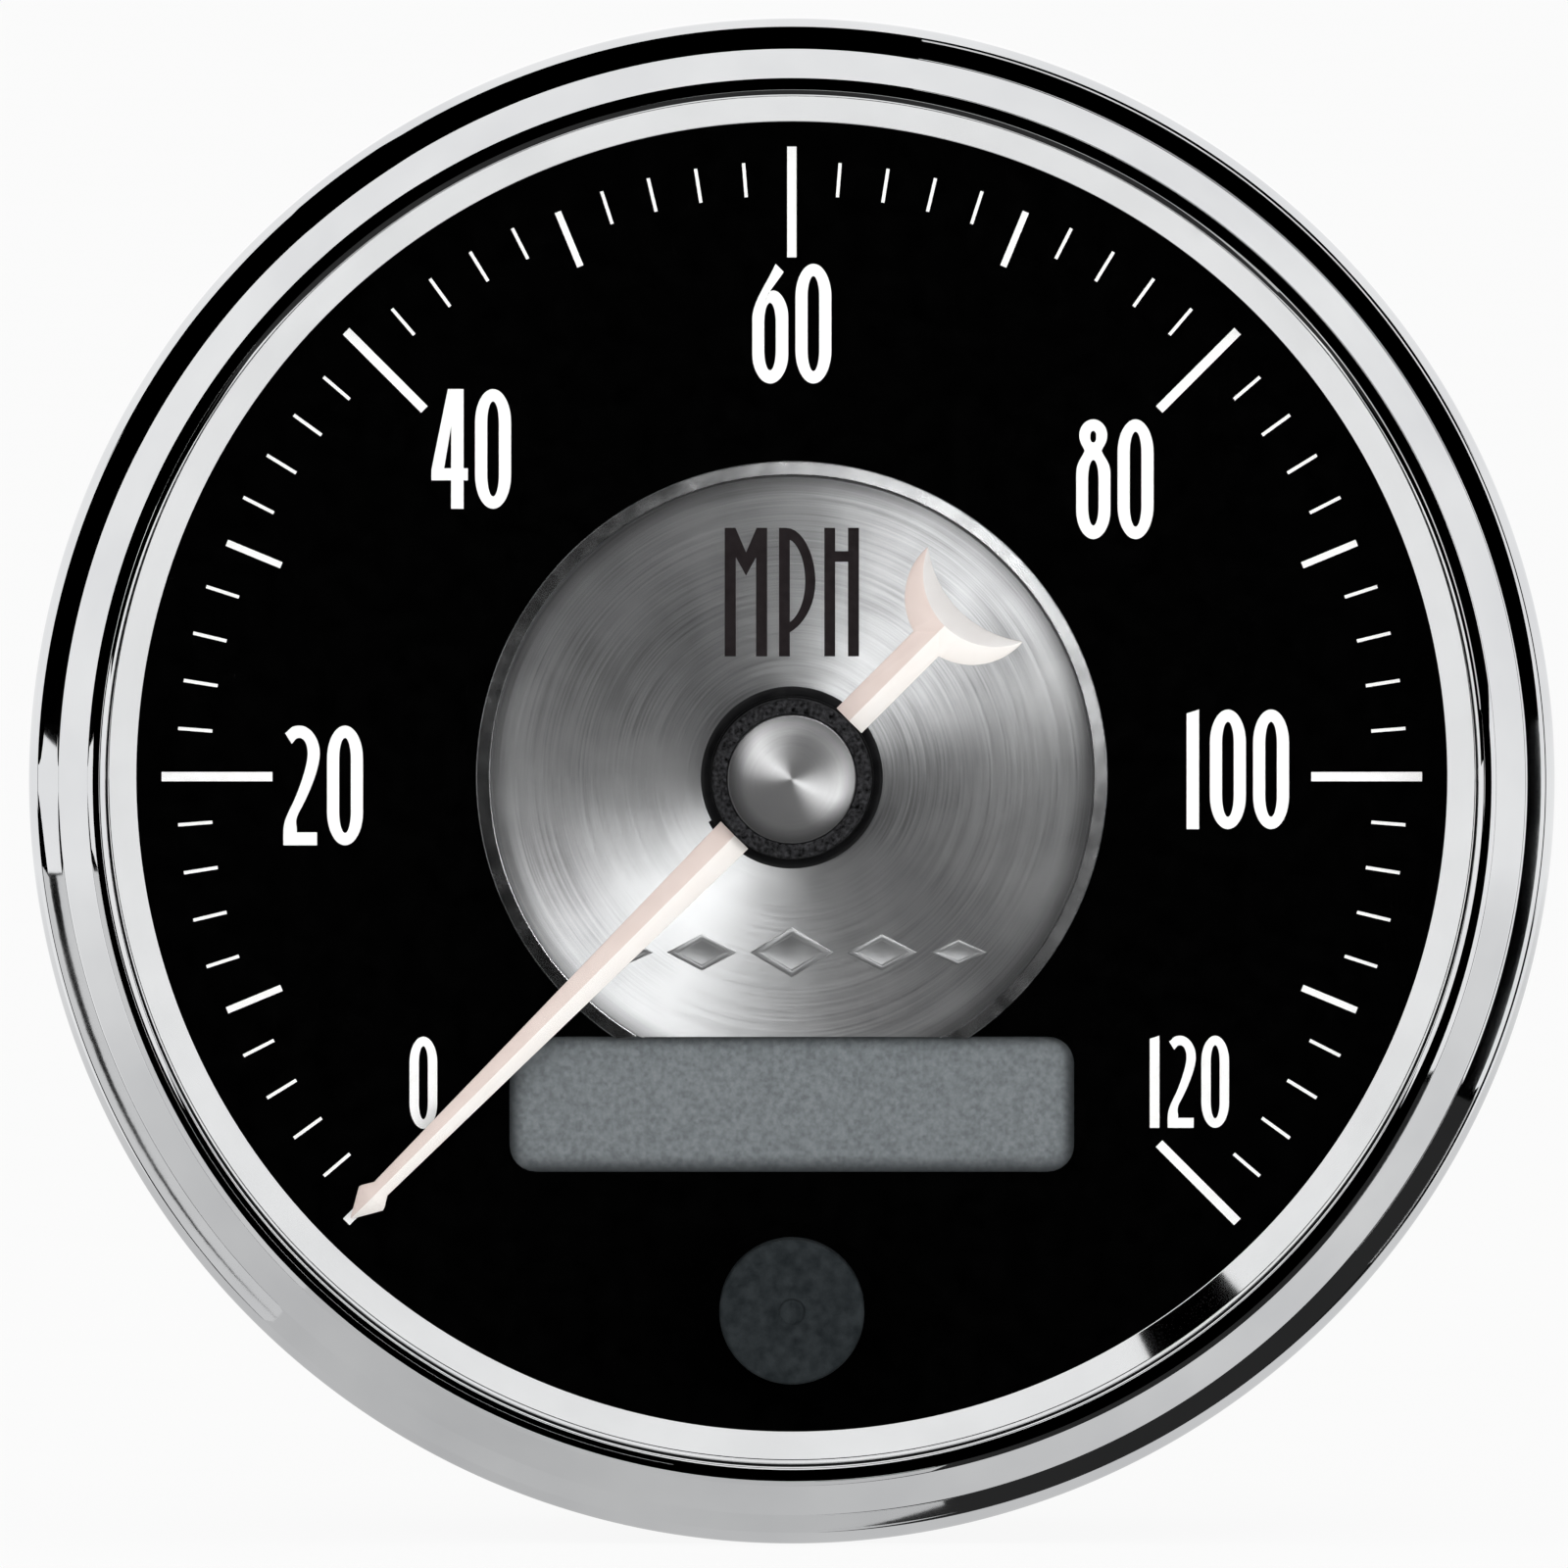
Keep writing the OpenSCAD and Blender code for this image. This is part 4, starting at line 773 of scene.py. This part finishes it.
# Trim ring
# A bright ring of drawn metal between the dial and the glass, with a sloping polished face round the scale.
# Its flange is held under the seal of the glass.
trim_flange_r, trim_back, trim_front = 44.6, 2.0, 2.4
trim_in, trim_wall, window_r = 41.0, 0.4, 39.35
slope_out, slope_low, slope_edge = -2.04, -2.99, 0.05
front_edge, fold_w, fold_drop, foot_rise = 0.06, 0.03, 0.01, 0.03
polished_trim = finish("polished_trim", "EAEBEC", "F3F4F5",
                       patch=6.0, gloss=(0.03, 0.05), grain=1.5, depth=0.0001, metal=1.0)
trim = spun("drawn_trim_ring", [
    (trim_flange_r, trim_back), (trim_flange_r, trim_front), (trim_in + front_edge, trim_front),
    (trim_in, trim_front - front_edge), (trim_in, slope_out + slope_edge),
    (trim_in - fold_w, slope_out - fold_drop), (window_r + slope_edge, slope_low + foot_rise),
    (window_r, slope_low - fold_drop), (window_r, dial_out), (window_r + trim_wall, dial_out),
    (trim_in + trim_wall, slope_out - trim_wall / 2), (trim_in + trim_wall, trim_back),
    (trim_flange_r, trim_back)], steps=320)
put(trim, polished_trim, "gauge_body", "polished_trim", "trim_ring")

# Glass and its seal
# A flat disc of clear glass with a hole drilled for the button, held in a channel of black rubber.
# Its polished faces pass the light and send back a little of the room, more of it at a slant.
straight_share, slant_power = 0.04, 5.0
clear_glass = bpy.data.materials.new("clear_glass")
clear_glass.use_nodes = True
clear_glass.node_tree.nodes.remove(surface_of(clear_glass))
pass_light = wire(clear_glass, "BsdfTransparent", shade("FCFCFC"))
send_back = wire(clear_glass, "BsdfGlossy", shade("FFFFFF"), Roughness=spots(clear_glass, 8.0, 0.0, 0.02))
slant = wire(clear_glass, "LayerWeight", Blend=0.5)
steep = wire(clear_glass, "Math", slant.outputs["Facing"], slant_power, operation="POWER")
share = wire(clear_glass, "MapRange", steep.outputs[0], 0.0, 1.0, straight_share, 1.0)
pane = wire(clear_glass, "MixShader", share.outputs[0], pass_light.outputs[0], send_back.outputs[0])
feed(clear_glass, clear_glass.node_tree.nodes["Material Output"].inputs[0], pane.outputs[0])
dress(clear_glass, "lens")
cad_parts["lens"].visible_glossy = False
black_rubber = finish("black_rubber", "0B0B0B", "151515",
                      patch=1.5, gloss=(0.65, 0.8), grain=0.2, depth=0.006)
dress(black_rubber, "lens_gasket")

# Bezel
# A ring drawn and spun from brass sheet, chromed all over, and crimped round the front ring behind.
# From the edge inwards it has a rounded shoulder, a flat land, a sloping step and a flat crest.
bezel_r, side_out, shoulder_round, back_round = 45.7, 4.81, 0.8, 0.4
crimp_r, crimp_t, side_in, seat_r = 43.15, 0.8, 44.9, 43.0
land_out, land_hold, fillet = 5.61, 0.03, 0.3
cone_foot, cone_tilt = 43.904, 41
crest_out, crest_in, crest_rim, crest_round = 7.2, 41.5, 42.1, 0.2
inner_tilt, inner_round = 26, 0.1
mouth_r, mouth_round, lip_out = 41.08, 0.12, 5.6
bright_chrome = finish("bright_chrome", "DADBDD", "E5E6E7",
                       patch=8.0, gloss=(0.008, 0.014), grain=1.6, depth=0.00003, metal=1.0)
fillet_r = cone_foot + fillet * math.tan(math.radians(cone_tilt / 2))
lean = math.radians(90 + inner_tilt)
inner_run = crest_in - mouth_r - mouth_round + (inner_round - mouth_round) * math.cos(lean)
inner_drop = inner_run * math.tan(math.radians(inner_tilt))
mouth_out = crest_out - inner_round + (inner_round - mouth_round) * math.sin(lean) - inner_drop
bezel = spun("spun_bezel", [
    (crimp_r, 0), (crimp_r, crimp_t), (side_in, crimp_t), (side_in, side_out), (seat_r, side_out),
    (seat_r, lip_out), (mouth_r, lip_out),
    *arc(mouth_r + mouth_round, mouth_out, mouth_round, 180, 90 + inner_tilt),
    *arc(crest_in, crest_out - inner_round, inner_round, 90 + inner_tilt, 90, 3),
    *arc(crest_rim, crest_out - crest_round, crest_round, 90, 90 - cone_tilt),
    *arc(fillet_r, land_out + fillet, fillet, 270 - cone_tilt, 270, 5),
    (fillet_r + land_hold, land_out), (bezel_r - shoulder_round - land_hold, land_out),
    *arc(bezel_r - shoulder_round, side_out, shoulder_round, 90, 0, 14),
    *arc(bezel_r - back_round, back_round, back_round, 0, -90, 5), (crimp_r, 0)], steps=400)
put(bezel, bright_chrome, "gauge_body", "bright_chrome", "bezel")

# Clamp behind the panel
# A strap of zinc-plated steel bent into a U, whose legs press on the back of the panel.
# It slides on the two studs and is drawn up by a lock washer and a nut on each.
strap_edge, washer_edge = 0.2, 0.12
nut_flats, nut_front, nut_back, nut_hole_r = 7.0, -42.5, -45.7, 2.06
nut_corner = nut_flats / 2 / math.cos(math.pi / 6)
hole_chamfer, flat_round, corner_drop, blank_over = 0.25, nut_flats / 2 - 0.1, 0.42, 0.1
strap = eased("mounting_bracket", "bent_strap", strap_edge)
put(strap, zinc_steel, "clamp", "zinc_steel", "mounting_bracket")
spring = eased("lock_washers", "spring_washers", washer_edge)
put(spring, zinc_steel, "clamp", "zinc_steel", "lock_washers")

nut = begun(bpy.ops.mesh.primitive_cylinder_add, vertices=6, radius=nut_corner * mm,
            depth=(nut_front - nut_back) * mm)
nut.rotation_euler = (math.pi / 2, math.pi / 6, 0)
nut.location = (-stud_x * mm, -(nut_front + nut_back) / 2 * mm, 0)
bpy.ops.object.transform_apply(location=True, rotation=True, scale=True)
blank = spun("blank", [
    (nut_hole_r, nut_back + hole_chamfer), (nut_hole_r + hole_chamfer, nut_back), (flat_round, nut_back),
    (nut_corner + blank_over, nut_back + corner_drop), (nut_corner + blank_over, nut_front - corner_drop),
    (flat_round, nut_front), (nut_hole_r + hole_chamfer, nut_front), (nut_hole_r, nut_front - hole_chamfer),
    (nut_hole_r, nut_back + hole_chamfer)], (-stud_x, 0), steps=48)
pick(nut)
turned = nut.modifiers.new("turned", "BOOLEAN")
turned.operation = "INTERSECT"
turned.solver = "EXACT"
turned.object = blank
apply_all(nut)
bpy.data.objects.remove(blank)
smooth(angle=25)
nuts = join("hexagon_nuts", [nut, copied(nut, 2 * stud_x)])
put(nuts, zinc_steel, "clamp", "zinc_steel", "clamp_nuts")

# Studio
# A pale floor under the bezel and a white surround, lit by soft lamps at the upper left and at the right.
# Black, grey and white cards stand in front for the polished rings to reflect, as in a product studio.
# Small lamps that reach one piece each give the brushed metal its sheen.
black, deep_grey, low_grey, mid_grey, pale_grey, rim_grey, white = 0.0, 0.026, 0.033, 0.6, 0.72, 0.8, 1.0
surround_light, floor_kept = 0.55, 0.92
floor_low, floor_side = -45.9, 24.0
scene = bpy.context.scene
scene.view_settings.view_transform = "Standard"


def white_for_sight(made):
    """1 for rays that show the background to the camera, in metal or through glass, and 0 for lighting."""
    ray = wire(made, "LightPath")
    sight = wire(made, "Math", ray.outputs["Is Camera Ray"], ray.outputs["Is Glossy Ray"],
                 operation="MAXIMUM")
    sight = wire(made, "Math", sight.outputs[0], ray.outputs["Is Transmission Ray"], operation="MAXIMUM")
    return sight.outputs[0]


surround = bpy.data.worlds.new("surround")
surround.use_nodes = True
scene.world = surround
soft_light = surround.node_tree.nodes["Background"]
soft_light.inputs["Color"].default_value = (1, 1, 1, 1)
soft_light.inputs["Strength"].default_value = surround_light
bright = wire(surround, "Background", (1, 1, 1, 1), 1.0)
both = wire(surround, "MixShader", white_for_sight(surround), soft_light.outputs[0], bright.outputs[0])
feed(surround, surround.node_tree.nodes["World Output"].inputs[0], both.outputs[0])

floor = begun(bpy.ops.mesh.primitive_plane_add, size=floor_side, location=(0, 0, floor_low * mm))
floor.name = "floor"
pale_floor = finish("pale_floor", "EDEDEC", "F4F4F3",
                    patch=30.0, gloss=(0.7, 0.8), grain=4.0, depth=0.01, shine=0.2)
glow = wire(pale_floor, "Emission", (1, 1, 1, 1), 1.0)
kept = wire(pale_floor, "Math", white_for_sight(pale_floor), floor_kept, operation="MULTIPLY")
seen = wire(pale_floor, "MixShader", kept.outputs[0], surface_of(pale_floor).outputs[0], glow.outputs[0])
feed(pale_floor, pale_floor.node_tree.nodes["Material Output"].inputs[0], seen.outputs[0])
floor.data.materials.append(pale_floor)
floor.visible_glossy = False


def card(name, corners, away, grey):
    """A flat card seen only in reflections. Its corners are across and up, and out where that differs."""
    piece = begun(bpy.ops.mesh.primitive_circle_add, vertices=len(corners), radius=1, fill_type="NGON")
    piece.name = name
    for corner, (x, up, *out) in zip(piece.data.vertices, corners):
        corner.co = (x * mm, -(out or [away])[0] * mm, up * mm)
    made = bpy.data.materials.new(name)
    made.use_nodes = True
    made.node_tree.nodes.remove(surface_of(made))
    light = wire(made, "Emission", (grey, grey, grey, 1), 1.0)
    feed(made, made.node_tree.nodes["Material Output"].inputs[0], light.outputs[0])
    piece.data.materials.append(made)
    piece.visible_camera = piece.visible_diffuse = piece.visible_shadow = piece.visible_transmission = False
    return piece


card_away, camera_away, camera_rise = 300, 3600, 2.0
near, nearest = card_away - 1, card_away - 2
spread = 1 + card_away / camera_away
mirror_drop = card_away * math.tan(math.radians(camera_rise))


def mirrored(x, up):
    """Where the flat face of the gauge at (x, up) looks on the cards, as the camera sees it."""
    return (x * spread, up * spread - mirror_drop)


def sector(start, end, inside, outside, count=16):
    """Corners of the part of the cards that a ring on the gauge looks at, between two angles in degrees.

    Each radius is a pair, and runs evenly from its value at the first angle to its value at the last."""
    steps = [i / count for i in range(count + 1)]
    edge = [(inside[0] + (inside[1] - inside[0]) * s, s) for s in steps]
    edge += [(outside[0] + (outside[1] - outside[0]) * s, s) for s in reversed(steps)]
    turned = [(r, math.radians(start + (end - start) * s)) for r, s in edge]
    return [mirrored(r * math.cos(t), r * math.sin(t)) for r, t in turned]


def light_only(source, *pieces):
    """Let a card or a lamp light some pieces alone."""
    source.light_linking.receiver_collection = bpy.data.collections.new(source.name)
    for piece in pieces:
        source.light_linking.receiver_collection.objects.link(piece)


front_side, front_low, front_foot = 290, -190, -412
shoulder_up, top_up, top_left, top_right = 302, 357, -170, 200
card("front_card", [(-front_side, shoulder_up), (-front_side, front_low), (front_side, front_low),
                    (front_side, shoulder_up), (top_right, top_up), (top_left, top_up)], card_away, black)
card("low_card", [(-front_side, front_low), (-front_side, front_foot), (front_side, front_foot),
                  (front_side, front_low)], card_away, low_grey)
ring_cards = [
    ("left_inner_card", 187, 226, (43, 43), (44.25, 44.3), near, pale_grey),
    ("left_outer_card", 187, 226, (44.72, 44.32), (268, 268), near, pale_grey),
    ("low_left_card", 226, 272, (43, 43), (300, 140), near, mid_grey),
    ("low_right_card", 271, 335, (43.2, 43.2), (200, 200), near, deep_grey),
    ("low_wedge", 270.5, 282, (43, 43), (45.0, 43.95), nearest, mid_grey),
    ("low_taper", 271, 283, (46, 46), (140, 46.2), nearest, mid_grey),
    ("right_card", -24, 5, (44.78, 44.85), (200, 200), nearest, white),
    ("upper_right_card", 5, 42, (44.85, 199), (200, 200), nearest, white),
]
near_cards = []
for name, start, end, inside, outside, away, grey in ring_cards:
    near_cards.append(card(name, sector(start, end, inside, outside), away, grey))
flag_side = 350
for name, side, low, high in (("left_low_flag", -1, -250, -25), ("left_high_flag", -1, 140, 250),
                              ("right_low_flag", 1, -250, -70), ("right_high_flag", 1, 140, 250)):
    near_x, far_x = side * front_side, side * flag_side
    card(name, [(near_x, low), (far_x, low), (far_x, high), (near_x, high)], card_away, black)
card("rim_card", sector(-40, 80, (135, 135), (205, 205)), near, rim_grey)
card("gap_card", [(-267, 285), (-356, 393), (-293, 434), (-204, 326)], card_away, black)
slit = [(-43.2, 1.7), (-44.8, 3.2), (-240, 3.2), (-240, -5.2), (-43.2, -5.2)]
near_cards.append(card("left_slit", [mirrored(*corner) for corner in slit], nearest, white))
for piece in near_cards:
    light_only(piece, bezel, trim)

under_side, under_low, under_back, under_front = 400, -60, -250, 45
under_greys = [(0.3, 0.82), (0.42, 0.64), (0.47, 0.57), (0.56, 0.76), (0.75, 0.84)]
under_card = card("under_card", [
    (-under_side, under_low, under_back), (under_side, under_low, under_back),
    (under_side, under_low, under_front), (-under_side, under_low, under_front)], 0, white)
under = under_card.data.materials[0]
under_x = axes(under)[0]
along_card = wire(under, "MapRange", under_x, -under_side * mm, under_side * mm, 0.0, 1.0)
greys = wire(under, "ValToRGB", along_card.outputs[0])
greys.color_ramp.elements[0].color = greys.color_ramp.elements[1].color = (1, 1, 1, 1)
for place, grey in under_greys:
    greys.color_ramp.elements.new(place).color = (grey, grey, grey, 1)
feed(under, under.node_tree.nodes["Emission"].inputs[0], greys.outputs[0])


def lamp(name, *, across, up, away, side, power, in_metal):
    """A square lamp that points at the middle of the dial, seen in metal or not at all."""
    bpy.ops.object.select_all(action="DESELECT")
    bpy.ops.object.light_add(type="AREA", location=(across * mm, -away * mm, up * mm))
    made = bpy.context.object
    made.name = name
    made.rotation_euler = made.location.to_track_quat("Z", "Y").to_euler()
    made.data.size = side * mm
    made.data.energy = power
    made.visible_camera = False
    made.visible_glossy = in_metal
    return made


lamp("key_lamp", across=-150, up=190, away=900, side=420, power=4.7, in_metal=False)
lamp("side_lamp", across=330, up=-10, away=800, side=300, power=5.2, in_metal=False)
fan_reach, fan_away = 188, 330
fans = [("first_fan", 40, fan_reach, 110, 1.3, medallion), ("second_fan", 62, fan_reach, 110, 0.9, medallion),
        ("front_fan", 90, 20, 260, 0.035, medallion), ("ornament_fan", 57, fan_reach, 120, 1.2, ornament),
        ("cap_fan", 58, fan_reach, 190, 3.2, hub_cap)]
for name, turn, reach, side, power, piece in fans:
    sheen = lamp(name, across=reach * math.cos(math.radians(turn)), up=reach * math.sin(math.radians(turn)),
                 away=fan_away, side=side, power=power, in_metal=True)
    sheen.visible_diffuse = sheen.data.use_shadow = False
    light_only(sheen, piece)

# Camera
# A long lens far off, raised so that it looks down on the dial by two degrees.
# Its frame is a little wider than the bezel.
frame_side, sensor_side = 93.85, 36
aim_x, aim_out, aim_y = -0.47, 7.2, -0.08
bpy.ops.object.select_all(action="DESELECT")
rise = math.radians(camera_rise)
eye = (aim_x, -aim_out - camera_away * math.cos(rise), aim_y + camera_away * math.sin(rise))
bpy.ops.object.camera_add(location=[c * mm for c in eye], rotation=(math.pi / 2 - rise, 0, 0))
camera = bpy.context.object
camera.data.sensor_width = sensor_side
camera.data.lens = sensor_side * camera_away / frame_side
camera.data.clip_start = 0.05
scene.camera = camera
